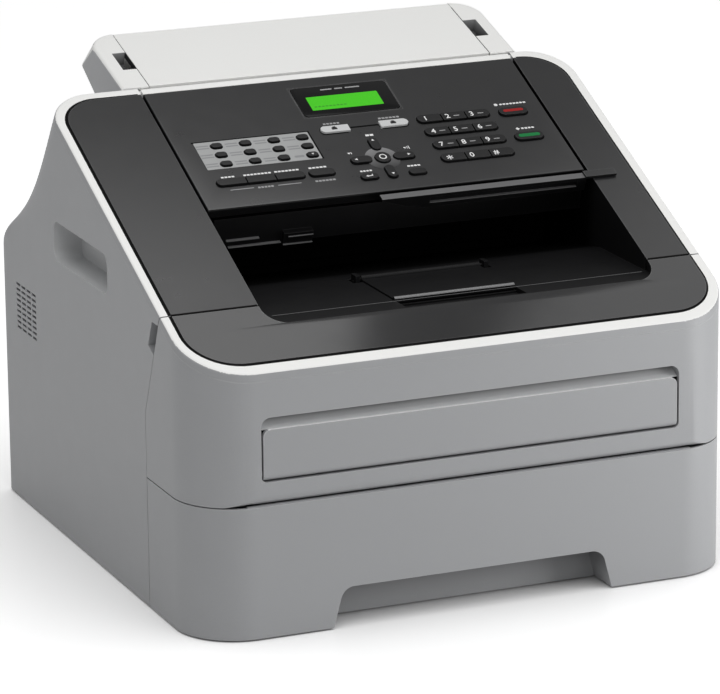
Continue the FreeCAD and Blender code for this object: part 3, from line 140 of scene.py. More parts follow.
def paint(red, green, blue):
    """A screen colour of 0 to 255 as the linear colour that a shader takes."""
    scaled = [channel / 255 for channel in (red, green, blue)]
    return tuple(c / 12.92 if c < 0.04045 else ((c + 0.055) / 1.055) ** 2.4 for c in scaled) + (1.0,)


def new_material(title):
    """A material with its node tree and the shader in it."""
    material = bpy.data.materials.new(title)
    material.use_nodes = True
    tree = material.node_tree
    return material, tree, tree.nodes["Principled BSDF"]


def add_bump(tree, shader, height, strength, depth):
    """Lets a height, with a depth in metres, tilt the normal that a shader takes."""
    bump = tree.nodes.new("ShaderNodeBump")
    set_inputs(bump, {"Strength": strength, "Distance": depth})
    tree.links.new(height, bump.inputs["Height"])
    tree.links.new(bump.outputs["Normal"], shader.inputs["Normal"])


def moulded_plastic(title, colour, rough, grain=1600.0, depth=0.00005, drift=0.08, spread=0.12,
                    worn_and_lit_edge=(170, 170, 170), wear_and_highlight=0.15, shine=0.5):
    """Injection moulded plastic: a slight drift of shade, an eroded grain and lighter edges of wear and
    painted highlight.
    """
    material, tree, shader = new_material(title)
    shader.inputs["Specular IOR Level"].default_value = shine
    skin = tree.nodes.new("ShaderNodeGroup")
    skin.node_tree = moulded_skin
    set_inputs(skin, {"Colour": paint(*colour), "Drift": drift, "Grain": grain, "Rough": rough,
                      "Spread": spread, "Worn and lit edge": paint(*worn_and_lit_edge), "Wear and highlight": wear_and_highlight})
    tree.links.new(skin.outputs["Colour"], shader.inputs["Base Color"])
    tree.links.new(skin.outputs["Roughness"], shader.inputs["Roughness"])
    add_bump(tree, shader, skin.outputs["Height"], 0.5, depth)
    return material


def dress(material, *nodes):
    """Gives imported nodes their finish."""
    for node in nodes:
        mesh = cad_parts[node].data
        mesh.materials.clear()
        mesh.materials.append(material)


chassis_black = moulded_plastic("chassis_black", (38, 39, 40), 0.55, worn_and_lit_edge=(90, 90, 90))
dress(chassis_black, "base_frame", "document_guide_left", "document_guide_right", "paper_guide_left",
      "paper_guide_right", "length_guide")

# Side frames, motor, screws, lift plate and heat roller: steel with a bright plating, pressed or turned.
# The rolling and turning marks run along the machine's width.
plated_steel, steel_tree, steel = new_material("plated_steel")
steel.inputs["Metallic"].default_value = 1.0
stretch = steel_tree.nodes.new("ShaderNodeMapping")
stretch.inputs["Scale"].default_value = (0.03, 1.0, 1.0)
steel_tree.links.new(object_place(steel_tree), stretch.inputs["Vector"])
rolling = noise(steel_tree, stretch.outputs["Vector"], 900.0, 3.0)
cloud = noise(steel_tree, stretch.outputs["Vector"], 60.0, 3.0)
steel_shade = blend(steel_tree, "MIX", cloud, paint(150, 152, 154), paint(196, 198, 198))
steel_tree.links.new(steel_shade, steel.inputs["Base Color"])
steel_tree.links.new(maths(steel_tree, "MULTIPLY_ADD", rolling, 0.25, 0.2), steel.inputs["Roughness"])
add_bump(steel_tree, steel, rolling, 0.2, 0.00002)
dress(plated_steel, "side_frames", "main_motor", "screws", "lift_plate", "heat_roller")

# Print engine: drum unit, toner cartridge, laser box and fuser, moulded in heat proof dark plastic, with the
# speaker and the image sensor in the same grey. The photo drum has a coated aluminium skin, the other rollers
# and the feet are ground rubber and the pinion is bare nylon.
engine_grey = moulded_plastic("engine_grey", (52, 54, 57), 0.5, worn_and_lit_edge=(110, 110, 110))
dress(engine_grey, "drum_unit", "toner_cartridge", "laser_unit", "fuser_frame", "speaker", "image_sensor")
ground_rubber = moulded_plastic("ground_rubber", (34, 34, 35), 0.85, grain=900.0, depth=0.0001, wear_and_highlight=0.0)
dress(ground_rubber, "pressure_roller", "pickup_roller", "document_roller", "feet")
drum_coating = moulded_plastic("drum_coating", (52, 128, 142), 0.18, grain=5000.0, depth=0.000005, wear_and_highlight=0.0)
dress(drum_coating, "photo_drum")
bare_nylon = moulded_plastic("bare_nylon", (226, 224, 214), 0.45)
dress(bare_nylon, "motor_pinion")

# Circuit boards: sheets of glass laminate under green lacquer, cut to size and set inside the covers.
# The square copper runs that are etched on them show through the lacquer.
lacquer, board_tree, board = new_material("board_lacquer")
board.inputs["Roughness"].default_value = 0.35
runs = board_tree.nodes.new("ShaderNodeTexBrick")
set_inputs(runs, {"Scale": 120.0, "Mortar Size": 0.03, "Color1": paint(20, 92, 48),
                  "Color2": paint(24, 104, 56), "Mortar": paint(60, 140, 80)})
board_tree.links.new(object_place(board_tree), runs.inputs["Vector"])
board_tree.links.new(runs.outputs["Color"], board.inputs["Base Color"])
add_bump(board_tree, board, runs.outputs["Fac"], 0.3, 0.00004)
dress(lacquer, "main_board", "power_supply", "control_board")

# Paper tray: the full width drawer front with its bin, moulded in one in the mid grey of the outer covers.
# Its edges are broken by the tool, which catches a thin line of light along every seam, and they are painted
# lighter as wear and as a painted highlight.
# It has a finger alcove under its front and a thin lip along the top of it.
mm = 0.001


def whole_faces(node):
    """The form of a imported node, with its triangles joined into whole faces."""
    form = bmesh.new()
    form.from_mesh(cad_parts[node].data)
    bmesh.ops.remove_doubles(form, verts=form.verts, dist=1e-6)
    bmesh.ops.dissolve_limit(form, angle_limit=math.radians(0.4), use_dissolve_boundaries=False,
                             verts=form.verts, edges=form.edges, delimit=set())
    return form


def finished(title, form, material, body, crease):
    """Makes a piece of a form, smooth up to a crease, and gives it its finish and the body it rides on."""
    mesh = bpy.data.meshes.new(title)
    form.to_mesh(mesh)
    form.free()
    if "custom_normal" in mesh.attributes:
        mesh.attributes.remove(mesh.attributes["custom_normal"])
    mesh.shade_smooth()
    mesh.set_sharp_from_angle(angle=crease)
    mesh.materials.clear()
    mesh.materials.append(material)
    piece = bpy.data.objects.new(title, mesh)
    bpy.context.scene.collection.objects.link(piece)
    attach(piece, body)
    return piece


def moulding(node, material, ease, body, segments=2):
    """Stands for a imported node, with its sharp edges eased by a width in millimetres."""
    crease = math.radians(32)
    piece = finished(node + "_moulding", whole_faces(node), material, body, crease)
    broken = piece.modifiers.new("eased_edges", "BEVEL")
    broken.width = ease * mm
    broken.segments = segments
    broken.limit_method = "ANGLE"
    broken.angle_limit = crease
    broken.use_clamp_overlap = True
    broken.harden_normals = True
    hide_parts(node)
    return piece


# The slope is the tilted plane of the machine's top, with x across, y up the slope and z out of it.
slope_tilt = math.radians(24.4)
slope = Matrix.Translation((0, -0.18, 0.1697)) @ Matrix.Rotation(slope_tilt, 4, "X")
slope_back = slope.inverted()
slope_up = slope.to_3x3() @ Vector((0, 0, 1))


def second_finish(piece, material, chosen):
    """Gives another finish to the faces that are chosen.

    They are chosen by their middle in the machine and on its slope, both in millimetres, and by how far
    they face out of the slope."""
    index = len(piece.data.materials)
    piece.data.materials.append(material)
    for face in piece.data.polygons:
        if chosen(face.center / mm, (slope_back @ face.center) / mm, face.normal.dot(slope_up)):
            face.material_index = index


def fade_along(material, axis, low, high, first, second):
    """Lets a moulded finish run from one shade to another between two places, in millimetres, on an axis."""
    tree = material.node_tree
    place = tree.nodes.new("ShaderNodeSeparateXYZ")
    tree.links.new(object_place(tree), place.inputs["Vector"])
    run = tree.nodes.new("ShaderNodeMapRange")
    set_inputs(run, {"From Min": low * mm, "From Max": high * mm})
    tree.links.new(place.outputs[axis], run.inputs["Value"])
    skin = next(made for made in tree.nodes if made.type == "GROUP")
    shade = blend(tree, "MIX", run.outputs["Result"], paint(*first), paint(*second))
    tree.links.new(shade, skin.inputs["Colour"])


def add_plate(form, x, v, w, corner=0.0, ease=0.0):
    """Adds a plate with rounded corners, given in millimetres across, up and out of where the form is put."""
    plate = bmesh.new()
    bmesh.ops.create_cube(plate, size=1.0)
    low = Vector((x[0], v[0], w[0])) * mm
    high = Vector((x[1], v[1], w[1])) * mm
    bmesh.ops.scale(plate, vec=high - low, verts=plate.verts)
    bmesh.ops.translate(plate, vec=(low + high) / 2, verts=plate.verts)
    if corner:
        upright = [e for e in plate.edges if (e.verts[0].co.xy - e.verts[1].co.xy).length < 1e-7]
        bmesh.ops.bevel(plate, geom=upright, offset=corner * mm, offset_type="OFFSET", affect="EDGES",
                        segments=6, profile=0.5, material=-1)
    if ease:
        lid = [e for e in plate.edges if min(vert.co.z for vert in e.verts) > high.z - 1e-7]
        bmesh.ops.bevel(plate, geom=lid, offset=ease * mm, offset_type="OFFSET", affect="EDGES",
                        segments=3, profile=0.5, material=-1)
    scratch = bpy.data.meshes.new("scratch")
    plate.to_mesh(scratch)
    plate.free()
    form.from_mesh(scratch)
    bpy.data.meshes.remove(scratch)


def plates(*sizes, corner=0.0, ease=0.0):
    """A form of one or more plates."""
    form = bmesh.new()
    for x, v, w in sizes:
        add_plate(form, x, v, w, corner, ease)
    return form


def add_piece(title, form, material, body, place=slope):
    """Puts a form that was made flat on the slope, or at another place of the machine, and finishes it."""
    bmesh.ops.transform(form, matrix=place, verts=form.verts)
    return finished(title, form, material, body, math.radians(35))


# The grey and the grain that all pieces of the shell share.
shell_shade = (158, 159, 161)
shell_grain = {"grain": 1500.0, "depth": 0.00006, "drift": 0.03}
# The covers' grey is painted lighter along its edges, as wear and as a painted highlight.
cover_grey = moulded_plastic("cover_grey", shell_shade, 0.5, **shell_grain, spread=0.08,
                             worn_and_lit_edge=(220, 220, 220), wear_and_highlight=0.5)
tray = moulding("paper_tray", cover_grey, 0.4, "paper_tray")
# The finger alcove is painted from light at its foot to dark at its top, as painted shade under the tray's
# front.
alcove_painted_shade = moulded_plastic("alcove_painted_shade", shell_shade, 0.5, **shell_grain, wear_and_highlight=0.1)
fade_along(alcove_painted_shade, "Z", 0, 30, (172, 173, 175), (58, 58, 59))
second_finish(tray, alcove_painted_shade,
              lambda place, spot, out: abs(place.x) < 130 and -179 < place.y < -120 and place.z < 45)
# The front is the machine's upright front face, with x across, y up and z out of it.
front = Matrix.Translation((0, -0.18, 0)) @ Matrix.Rotation(math.radians(90), 4, "X")
tray_lip = plates(((-150, 150), (85.25, 85.75), (-4.0, -1.2)))
add_piece("paper_tray_lip", tray_lip, cover_grey, "paper_tray", front)


# Side covers, rear panel and rear door: mid grey shells with an eroded grain, screwed to the chassis.
# The hollows of the hand grips are painted a lighter grey, as painted light bounced into them. The sockets are
# black inserts behind the rear panel.
def in_grip(place, spot, out):
    """Whether a face lies inside one of the hand grips of the side covers."""
    return 164 < abs(place.x) < 183.8 and -31 < place.y < 72.5 and 185.5 < place.z < 213.5


grip_painted_light = moulded_plastic("grip_painted_light", (198, 199, 200), 0.5, **shell_grain, wear_and_highlight=0.1)
for node in ("left_cover", "right_cover"):
    side_cover = moulding(node, cover_grey, 0.5, "main_unit")
    second_finish(side_cover, grip_painted_light, in_grip)
moulding("rear_panel", cover_grey, 0.5, "main_unit")
moulding("rear_cover", cover_grey, 0.5, "rear_cover")
dress(chassis_black, "rear_sockets")


# Front cover and manual feed flap: the same grey, hung on pins at their lower corners and held by friction.
# The recess of the flap has a rounded cove above and rounded corners below. The cove is painted pale at its
# foot and dark at its top, as painted light and shade, and small dark plates behind the flap's upper corners
# are painted shade.
def add_disc(form, x, v, w, radius, sides=48, turn=0.0):
    """Adds a disc, or with few sides a triangle or a diamond, in millimetres and turned by degrees."""
    middle = Vector((x, v, (w[0] + w[1]) / 2)) * mm
    place = Matrix.Translation(middle) @ Matrix.Rotation(math.radians(turn), 4, "Z")
    bmesh.ops.create_cone(form, cap_ends=True, segments=sides, radius1=radius * mm, radius2=radius * mm,
                          depth=(w[1] - w[0]) * mm, matrix=place)


def pierce(form, cutter):
    """Takes the cutter's solids out of a form."""
    holders = []
    for shape in (form, cutter):
        mesh = bpy.data.meshes.new("solid")
        shape.to_mesh(mesh)
        shape.free()
        holders.append(bpy.data.objects.new("solid", mesh))
        bpy.context.scene.collection.objects.link(holders[-1])
    opening = holders[0].modifiers.new("openings", "BOOLEAN")
    opening.operation = "DIFFERENCE"
    opening.object = holders[1]
    bpy.context.view_layer.update()
    left = bpy.data.meshes.new_from_object(holders[0].evaluated_get(bpy.context.evaluated_depsgraph_get()))
    pierced = bmesh.new()
    pierced.from_mesh(left)
    bpy.data.meshes.remove(left)
    for holder in holders:
        bpy.data.meshes.remove(holder.data)
    return pierced


moulding("front_cover", cover_grey, 0.4, "front_cover")
# The flap's edges are painted nearly white, as wear and as a painted highlight, and its top edge is painted
# white as a painted highlight.
flap_grey = moulded_plastic("flap_grey", shell_shade, 0.5, **shell_grain, spread=0.08,
                            worn_and_lit_edge=(228, 228, 228), wear_and_highlight=0.9)
feed_flap = moulding("manual_feed_cover", flap_grey, 0.8, "manual_feed_cover", 3)
flap_painted_highlight = moulded_plastic("flap_painted_highlight", (252, 252, 252), 0.4, **shell_grain, wear_and_highlight=0.0)
second_finish(feed_flap, flap_painted_highlight, lambda place, spot, out: place.z > 133.4)

# The cove is a bar with a round groove along it.
recess_side = 140.9
cove_radius = 8.0 * mm
cove_axis = Matrix.Translation((0, 141.4 * mm, -1.5 * mm)) @ Matrix.Rotation(math.radians(90), 4, "Y")
cutter = bmesh.new()
bmesh.ops.create_cone(cutter, cap_ends=True, segments=96, radius1=cove_radius, radius2=cove_radius,
                      depth=0.4, matrix=cove_axis)
cove = pierce(plates(((-recess_side, recess_side), (132.8, 141.25), (-12.8, -3.3))), cutter)
cove_painted_shade = moulded_plastic("cove_painted_shade", shell_shade, 0.5, **shell_grain, wear_and_highlight=0.0)
fade_along(cove_painted_shade, "Z", 134.5, 139.2, (236, 237, 238), (46, 46, 47))
add_piece("manual_feed_cove", cove, cove_painted_shade, "front_cover", front)

round_x, round_v = 137.4, 104.1
corners = bmesh.new()
rounds = bmesh.new()
shades = bmesh.new()
for side in (-1, 1):
    add_plate(corners, sorted((round_x * side, 141.1 * side)), (100.4, round_v), (-2.0, 0.0))
    add_disc(rounds, round_x * side, round_v, (-3, 1), 3.6)
    add_plate(shades, sorted((134.0 * side, recess_side * side)), (126.0, 133.0), (-3.3, -3.06))
add_piece("manual_feed_corners", pierce(corners, rounds), cover_grey, "front_cover", front)
# This black is painted shade, put where there is only shade: behind the flap's corners here, and in the rim's
# groove, the seams and the well below.
painted_shade_black = moulded_plastic("painted_shade_black", (5, 5, 5), 0.7, wear_and_highlight=0.0, shine=0.08)
add_piece("manual_feed_shade", shades, painted_shade_black, "front_cover", front)

# Rim: a pale satin moulding that frames the dark top, split where the front cover opens.
# Its outer face is moulded in the covers' grey. A thin black strip along its inner edge is painted shade of
# the groove there, with a gap where the control panel swings, and black strips across the side strips are
# painted shade of their seams.
trim_white = moulded_plastic("trim_white", (236, 236, 234), 0.42, grain=2200.0, depth=0.00002, drift=0.02,
                             spread=0.06, worn_and_lit_edge=(240, 240, 240), wear_and_highlight=0.1)
for node, body in (("rim", "main_unit"), ("front_rim", "front_cover")):
    rim = moulding(node, trim_white, 0.2, body)
    second_finish(rim, cover_grey, lambda place, spot, out: spot.z < -0.5)


def frame_plate(x, v, w, front_round, rear_round):
    """A plate on the slope whose front and rear corners have radii of their own, in millimetres."""
    plate = plates((x, v, w))
    for edge, radius in ((v[0], front_round), (v[1], rear_round)):
        corners = [e for e in plate.edges
                   if all(abs(vert.co.y - edge * mm) < 1e-6 for vert in e.verts)
                   and abs(e.verts[0].co.z - e.verts[1].co.z) > 1e-5]
        bmesh.ops.bevel(plate, geom=corners, offset=radius * mm, offset_type="OFFSET", affect="EDGES",
                        segments=12, profile=0.5, material=-1)
    return plate


panel_swing = ((-121, 148.5), (270, 300), (-3, 3))
for title, body, opened in (("rim_groove_shade", "main_unit", (-20, 62.8)),
                            ("front_rim_groove_shade", "front_cover", (61.9, 300))):
    ring = pierce(frame_plate((-178.2, 177.1), (8.0, 285.7), (-0.1, 0.05), 34.2, 26.7),
                  frame_plate((-176.3, 176.3), (10.2, 285.0), (-1, 1), 32, 26))
    gaps = plates(((-200, 200), opened, (-2, 2)), panel_swing)
    add_piece(title, pierce(ring, gaps), painted_shade_black, body)
seam_v, seam_w = (62.8, 63.7), (0.0, 0.03)
seam_lines = plates(((-176.2, -119.7), seam_v, seam_w), ((147.1, 176.2), seam_v, seam_w))
add_piece("strip_seam_lines", seam_lines, painted_shade_black, "main_unit")

# Top cover with the output well, front top and output flap: near black satin plastic with a fine grain.
# The well below the slope has a coarser skin, painted darker as painted shade and darker still towards its
# back as the painted shadow of the overhang, and so has the flap that lies in it.
# The well's rear wall and a black plate behind the exit slot at the back of the well are painted black as
# painted shade.
# The dark top's edges are painted light grey, as wear and as a painted highlight.
top_black = moulded_plastic("top_black", (32, 32, 33), 0.29, grain=2400.0, depth=0.00002, drift=0.05,
                            spread=0.08, worn_and_lit_edge=(150, 150, 150), wear_and_highlight=0.6)
ledge_black = moulded_plastic("ledge_black", (32, 32, 33), 0.15, grain=2400.0, depth=0.00001, drift=0.05,
                              spread=0.04, worn_and_lit_edge=(150, 150, 150), wear_and_highlight=0.6)
well_painted_shade = moulded_plastic("well_painted_shade", (17, 17, 18), 0.5, grain=1800.0, depth=0.00003, drift=0.05,
                             worn_and_lit_edge=(70, 70, 70), wear_and_highlight=0.15, shine=0.15)
fade_along(well_painted_shade, "Y", -46, -34, (17, 17, 18), (2, 2, 2))
well_depth = -0.6
exit_y = 30
for node, body, finish in (("top_cover", "main_unit", top_black), ("front_top", "front_cover", ledge_black)):
    top = moulding(node, finish, 0.7, body)
    # The large flat faces rule the normals along their eased edges, so that the field looks flat.
    flat = top.modifiers.new("flat_field", "WEIGHTED_NORMAL")
    flat.keep_sharp = True
    flat.weight = 100
    second_finish(top, well_painted_shade, lambda place, spot, out: spot.z < well_depth)
    second_finish(top, painted_shade_black, lambda place, spot, out: spot.z < well_depth and place.y > exit_y)
flap = moulding("output_flap", well_painted_shade, 0.5, "output_flap", 3)
# The bead along the flap's front is painted a lighter grey as a painted highlight.
bead_painted_highlight = moulded_plastic("bead_painted_highlight", (120, 120, 121), 0.35, wear_and_highlight=0.0)
second_finish(flap, bead_painted_highlight, lambda place, spot, out: place.y < -116.5 and place.z > 188)
# The edge of the well's seam is a painted highlight, a thin pale strip given in the machine's own frame.
well_seam_painted_highlight = moulded_plastic("well_seam_painted_highlight", (120, 120, 121), 0.4, wear_and_highlight=0.0)
seam_edge = plates(((-110, 143), (-122.4, -121.8), (187.67, 187.77)))
add_piece("well_seam_edge", seam_edge, well_seam_painted_highlight, "main_unit", Matrix.Identity(4))
exit_shade = plates(((-100, 127), (174, 189), (-215.7, -215.2)))
add_piece("exit_slot_shade", exit_shade, painted_shade_black, "main_unit", front)

# Document tray and flap: pale satin mouldings over the rear slope, where the originals are laid.
# The tray's sides are a darker grey than its top, and its two finger pockets are painted dark towards the
# bottom as painted shade. The pockets and the lower rear corners differ a little from the imported shape, and
# dark fillers in the seams beside the flap are painted shade of the gaps.
document_tray = moulding("document_tray", trim_white, 0.4, "main_unit")
# The bed is the tray's tilted top, with x across, y up the bed and z out of it.
bed_y, bed_z = 86.9, 290.7
bed_tilt = math.radians(17.2)
bed = Matrix.Translation((0, bed_y * mm, bed_z * mm)) @ Matrix.Rotation(bed_tilt, 4, "X")
bed_back = bed.inverted()
up_the_bed = bed.to_3x3() @ Vector((0, mm, 0))
near = 0.3
form = bmesh.new()
form.from_mesh(document_tray.data)
# The outer wall of each pocket moves inwards, and its two ends move up the bed.
for left, right, outer, inward in ((-125.5, -110.0, -125.0, 5.3), (132.5, 148.0, 147.5, -5.2)):
    spots = [(vert, (bed_back @ vert.co) / mm) for vert in form.verts]
    mouth = [(vert, spot) for vert, spot in spots
             if left < spot.x < right and 19.5 < spot.y < 39.5 and -9.5 < spot.z < 0.5]
    wall = [vert for vert, spot in mouth if abs(spot.x - outer) < near]
    bmesh.ops.translate(form, vec=(inward * mm, 0, 0), verts=wall)
    for end, shift in ((20.0, 4.0), (39.0, 7.8)):
        row = [vert for vert, spot in mouth if abs(spot.y - end) < near]
        bmesh.ops.translate(form, vec=up_the_bed * shift, verts=row)

# The rounding of the two lower rear corners shrinks. The rise is that of the tray's underside.
tail = max((vert.co.copy() for vert in form.verts), key=lambda spot: spot.y)
widths = [vert.co.x for vert in form.verts]
under_rise = 0.5807
round_share = 0.3
for side in (min(widths), max(widths)):
    corner = Vector((side, tail.y, tail.z))
    under = [vert for vert in form.verts
             if abs(vert.co.x - side) < 20.2 * mm and vert.co.y > 149.5 * mm
             and abs(vert.co.z - tail.z - under_rise * (vert.co.y - tail.y)) < 0.6 * mm]
    bmesh.ops.scale(form, vec=Vector((1, 1, 1)) * round_share, space=Matrix.Translation(-corner), verts=under)
form.to_mesh(document_tray.data)
form.free()


def in_pocket(place, spot, out):
    """Whether a face lies in one of the finger pockets of the document tray."""
    tray_top = bed_z + (place.y - bed_y) * math.tan(bed_tilt)
    return (-127 < place.x < -110 or 133 < place.x < 150) and place.z < tray_top - 1


tray_side_grey = moulded_plastic("tray_side_grey", (174, 175, 177), 0.5, **shell_grain, wear_and_highlight=0.1)
second_finish(document_tray, tray_side_grey, lambda place, spot, out: not -129 < place.x < 151.5)
pocket_painted_shade = moulded_plastic("pocket_painted_shade", (70, 70, 71), 0.5, wear_and_highlight=0.0, shine=0.2)
fade_along(pocket_painted_shade, "Z", 292.5, 303.5, (14, 14, 15), (176, 177, 178))
second_finish(document_tray, pocket_painted_shade, in_pocket)
filler_v, filler_w = (1.0, 66.0), (-4.0, -0.15)
fillers = plates(((-110.46, -110.04), filler_v, filler_w), ((132.54, 132.96), filler_v, filler_w))
seam_painted_shade = moulded_plastic("seam_painted_shade", (44, 44, 45), 0.6, wear_and_highlight=0.0, shine=0.2)
add_piece("document_flap_seams", fillers, seam_painted_shade, "main_unit", bed)
moulding("document_flap", trim_white, 0.4, "document_flap")

# Scanner frame and document support: the black lower half of the document path and the slide out grip in
# front of it. The grip's flat top is painted lighter as a painted sheen, its sides have the darker coarse skin
# of the path.
path_black = moulded_plastic("path_black", (8, 8, 9), 0.45, grain=2000.0, depth=0.00003, drift=0.05,
                             worn_and_lit_edge=(110, 110, 110), wear_and_highlight=0.2, shine=0.2)
moulding("scanner_frame", path_black, 0.4, "main_unit")
grip_painted_sheen = moulded_plastic("grip_painted_sheen", (92, 92, 93), 0.35, grain=2400.0, depth=0.00002, wear_and_highlight=0.1)
grip = moulding("document_support", grip_painted_sheen, 0.6, "document_support", 3)
faces_up = 0.8
second_finish(grip, path_black, lambda place, spot, out: out < faces_up)
second_finish(grip, top_black, lambda place, spot, out: out > faces_up and spot.x > 143)
grip_tip = plates(((144.0, 162.2), (149.4, 151.7), (0.7, 0.86)), ease=0.05)
add_piece("document_support_tip", grip_tip, grip_painted_sheen, "document_support")

# Control panel: one dark satin moulding over the scanner with a pale strip along its hinge.
# Its front lip and skirts stay in the shade of the path below, so they are painted with the darker skin as
# painted shade.
panel = moulding("control_panel", top_black, 0.4, "control_panel")
second_finish(panel, path_black, lambda place, spot, out: out < faces_up)
moulding("panel_strip", trim_white, 0.4, "control_panel")

# Document path guides: thin ledges on the scanner's front, below the panel, that lead the sheet out.
# They are moulded with the frame, and are painted a lighter grey as a painted highlight of their edges.
guide_painted_highlight = moulded_plastic("guide_painted_highlight", (92, 92, 93), 0.4, wear_and_highlight=0.1)
form = plates(((-102.4, -80.0), (156.4, 158.8), (-25.1, -24.4)),
              ((-100.8, -65.0), (155.4, 157.9), (-29.6, -29.0)),
              ((-61.0, -44.0), (154.0, 154.8), (-24.7, -24.1)), ease=0.2)
add_plate(form, (-64.0, -44.0), (153.4, 154.8), (-30.3, -29.9), ease=0.1)
add_piece("path_guides", form, guide_painted_highlight, "main_unit")


# Label sheet: a silver card laid on the panel round the one-touch keys, with two grey fields beside each key.
# A black line along its upper and right edges is painted shade of the recess it lies in, and a small pill
# stands before the last key.
def span(middle, half):
    """The two ends of a length that is given by its middle."""
    return middle - half, middle + half


card_silver = moulded_plastic("card_silver", (160, 161, 161), 0.3, grain=3000.0, depth=0.00001, drift=0.1,
                              wear_and_highlight=0.0)
field_grey = moulded_plastic("field_grey", (134, 135, 136), 0.3, grain=3000.0, depth=0.00001, wear_and_highlight=0.0)
painted_shade_lines = moulded_plastic("painted_shade_lines", (4, 4, 4), 0.6, wear_and_highlight=0.0, shine=0.06)
touch_spots = [(-89.1 + 19.8 * column, 222.8 - 9.55 * row) for row in range(3) for column in range(4)]
card_v = (199.4, 228.0)
card = plates(((-103.2, -24.3), card_v, (0.0, 0.2)), corner=0.4)
openings = plates(*((span(x, 4.2), span(v, 2.7), (-1, 1)) for x, v in touch_spots), corner=2.65)
add_piece("label_card", pierce(card, openings), card_silver, "control_panel")
field_w = (0.2, 0.22)
fields = bmesh.new()
for x, v in touch_spots[:-1]:
    for step in (-1.9, 0.6):
        add_plate(fields, (x - 13.6, x - 5.2), (v + step, v + step + 1.3), field_w, corner=0.3)
add_plate(fields, (-42.1, -35.2), (202.6, 204.8), field_w, corner=1.0)
add_piece("label_fields", fields, field_grey, "control_panel")
# The third black line, between the two mode keys, is painted shade of the groove there.
black_lines = plates(((-104.2, -23.1), (228.0, 229.1), (0.0, 0.15)), ((-24.3, -23.1), card_v, (0.0, 0.15)),
                     ((5.2, 26.0), (227.4, 228.9), (0.0, 0.06)))
add_piece("panel_black_lines", black_lines, painted_shade_lines, "control_panel")

# Cursor dish: a shallow round hollow of the panel under the cursor keys, with openings for their caps.
# It is a thin disc here, painted from light at its upper edge to dark at its lower one as painted shade of the
# hollow.
pad_x, pad_v = 15.1, 192.9
cap_half, cap_round = 3.6, 3.55
dish_shade = moulded_plastic("dish_shade", (90, 90, 91), 0.4, grain=2400.0, depth=0.00002, wear_and_highlight=0.0)
fade_along(dish_shade, "Z", 245.5, 253.5, (34, 34, 35), (122, 122, 123))
dish = bmesh.new()
add_disc(dish, pad_x, pad_v, (0.0, 0.1), 11.6, 72)
openings = bmesh.new()
add_disc(openings, pad_x, pad_v, (-1, 1), 5.6)
for side in (-14.9, 14.9):
    add_plate(openings, span(pad_x + side, 7.6), span(pad_v, cap_half), (-1.2, 1.2), corner=cap_round)
    add_plate(openings, span(pad_x, cap_half), span(pad_v + side, 6.6), (-1.1, 1.1), corner=cap_round)
add_piece("cursor_dish", pierce(dish, openings), dish_shade, "control_panel")

# Panel print: rows of dashes and a few plain signs, screen printed on the panel in white and grey ink.
# The thinner grey lines tie the function keys together.
legend_white = moulded_plastic("legend_white", (226, 226, 226), 0.5, wear_and_highlight=0.0)
legend_grey = moulded_plastic("legend_grey", (150, 150, 151), 0.5, wear_and_highlight=0.0)
ink = (0.0, 0.03)


def add_dashes(form, left, right, v, tall, long=1.9, gap=0.55):
    """Adds a row of dashes that fills a length."""
    count = max(1, round((right - left + gap) / (long + gap)))
    pitch = (right - left + gap) / count
    for i in range(count):
        start = left + pitch * i
        add_plate(form, (start, start + pitch - gap), span(v, tall / 2), ink, corner=0.2)


form = bmesh.new()
for left, right, v in ((-97.4, -88.4, 190.6), (-82.2, -63.4, 190.6), (-60.9, -44.3, 190.7),
                       (-37.4, -25.1, 190.7), (28.2, 37.1, 182.2), (-4.9, 3.2, 181.9),
                       (115.8, 134.6, 236.1), (120.1, 129.3, 208.7)):
    add_dashes(form, left, right, v, 1.5)
add_disc(form, 113.2, 236.2, ink, 1.3)
add_disc(form, 117.6, 208.7, ink, 1.5, 4)
for left in (12.9, 15.9):
    add_plate(form, (left, left + 2.5), (217.3, 219.2), ink, corner=0.2)
add_disc(form, 34.0, 201.5, ink, 1.2, 3, 180)
add_plate(form, (35.4, 35.9), (200.4, 202.6), ink)
add_plate(form, (36.6, 37.1), (199.9, 203.1), ink)
add_disc(form, -5.2, 201.6, ink, 1.2, 3, 180)
add_plate(form, (-3.8, -3.3), (200.6, 202.6), ink)
add_piece("panel_print_white", form, legend_white, "control_panel")
form = plates(((-95.8, -79.8), (176.8, 177.5), ink), ((-63.4, -47.4), (176.6, 177.3), ink))
for left, right, v in ((-77.1, -66.5, 176.8), (-37.8, -23.9, 176.8), (-10.7, 0.7, 234.4),
                       (28.2, 43.0, 234.5)):
    add_dashes(form, left, right, v, 1.6)
add_piece("panel_print_grey", form, legend_grey, "control_panel")

# Display: a dark acrylic lens with rounded corners, pressed into a thin frame in the panel.
# The liquid crystal film behind it is lit in green. Its fine dots and dark dashes are laid on the lens here.
lens_black = moulded_plastic("lens_black", (16, 16, 17), 0.15, grain=6000.0, depth=0.000002, drift=0.1,
                             spread=0.1, wear_and_highlight=0.1, shine=0.12)
lens_top = 0.4
form = plates(((-19.5, 48.0), (243.2, 274.5), (-1.4, lens_top)), corner=3.4, ease=0.3)
lens = add_piece("display_lens_acrylic", form, lens_black, "control_panel")
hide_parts("display_lens")
lens_frame = pierce(plates(((-20.8, 49.3), (241.9, 275.8), (-0.6, 0.02)), corner=0.3),
                    plates(((-20.2, 48.7), (242.5, 275.2), (-2, 2)), corner=4.4))
add_piece("display_lens_frame", lens_frame, top_black, "control_panel")

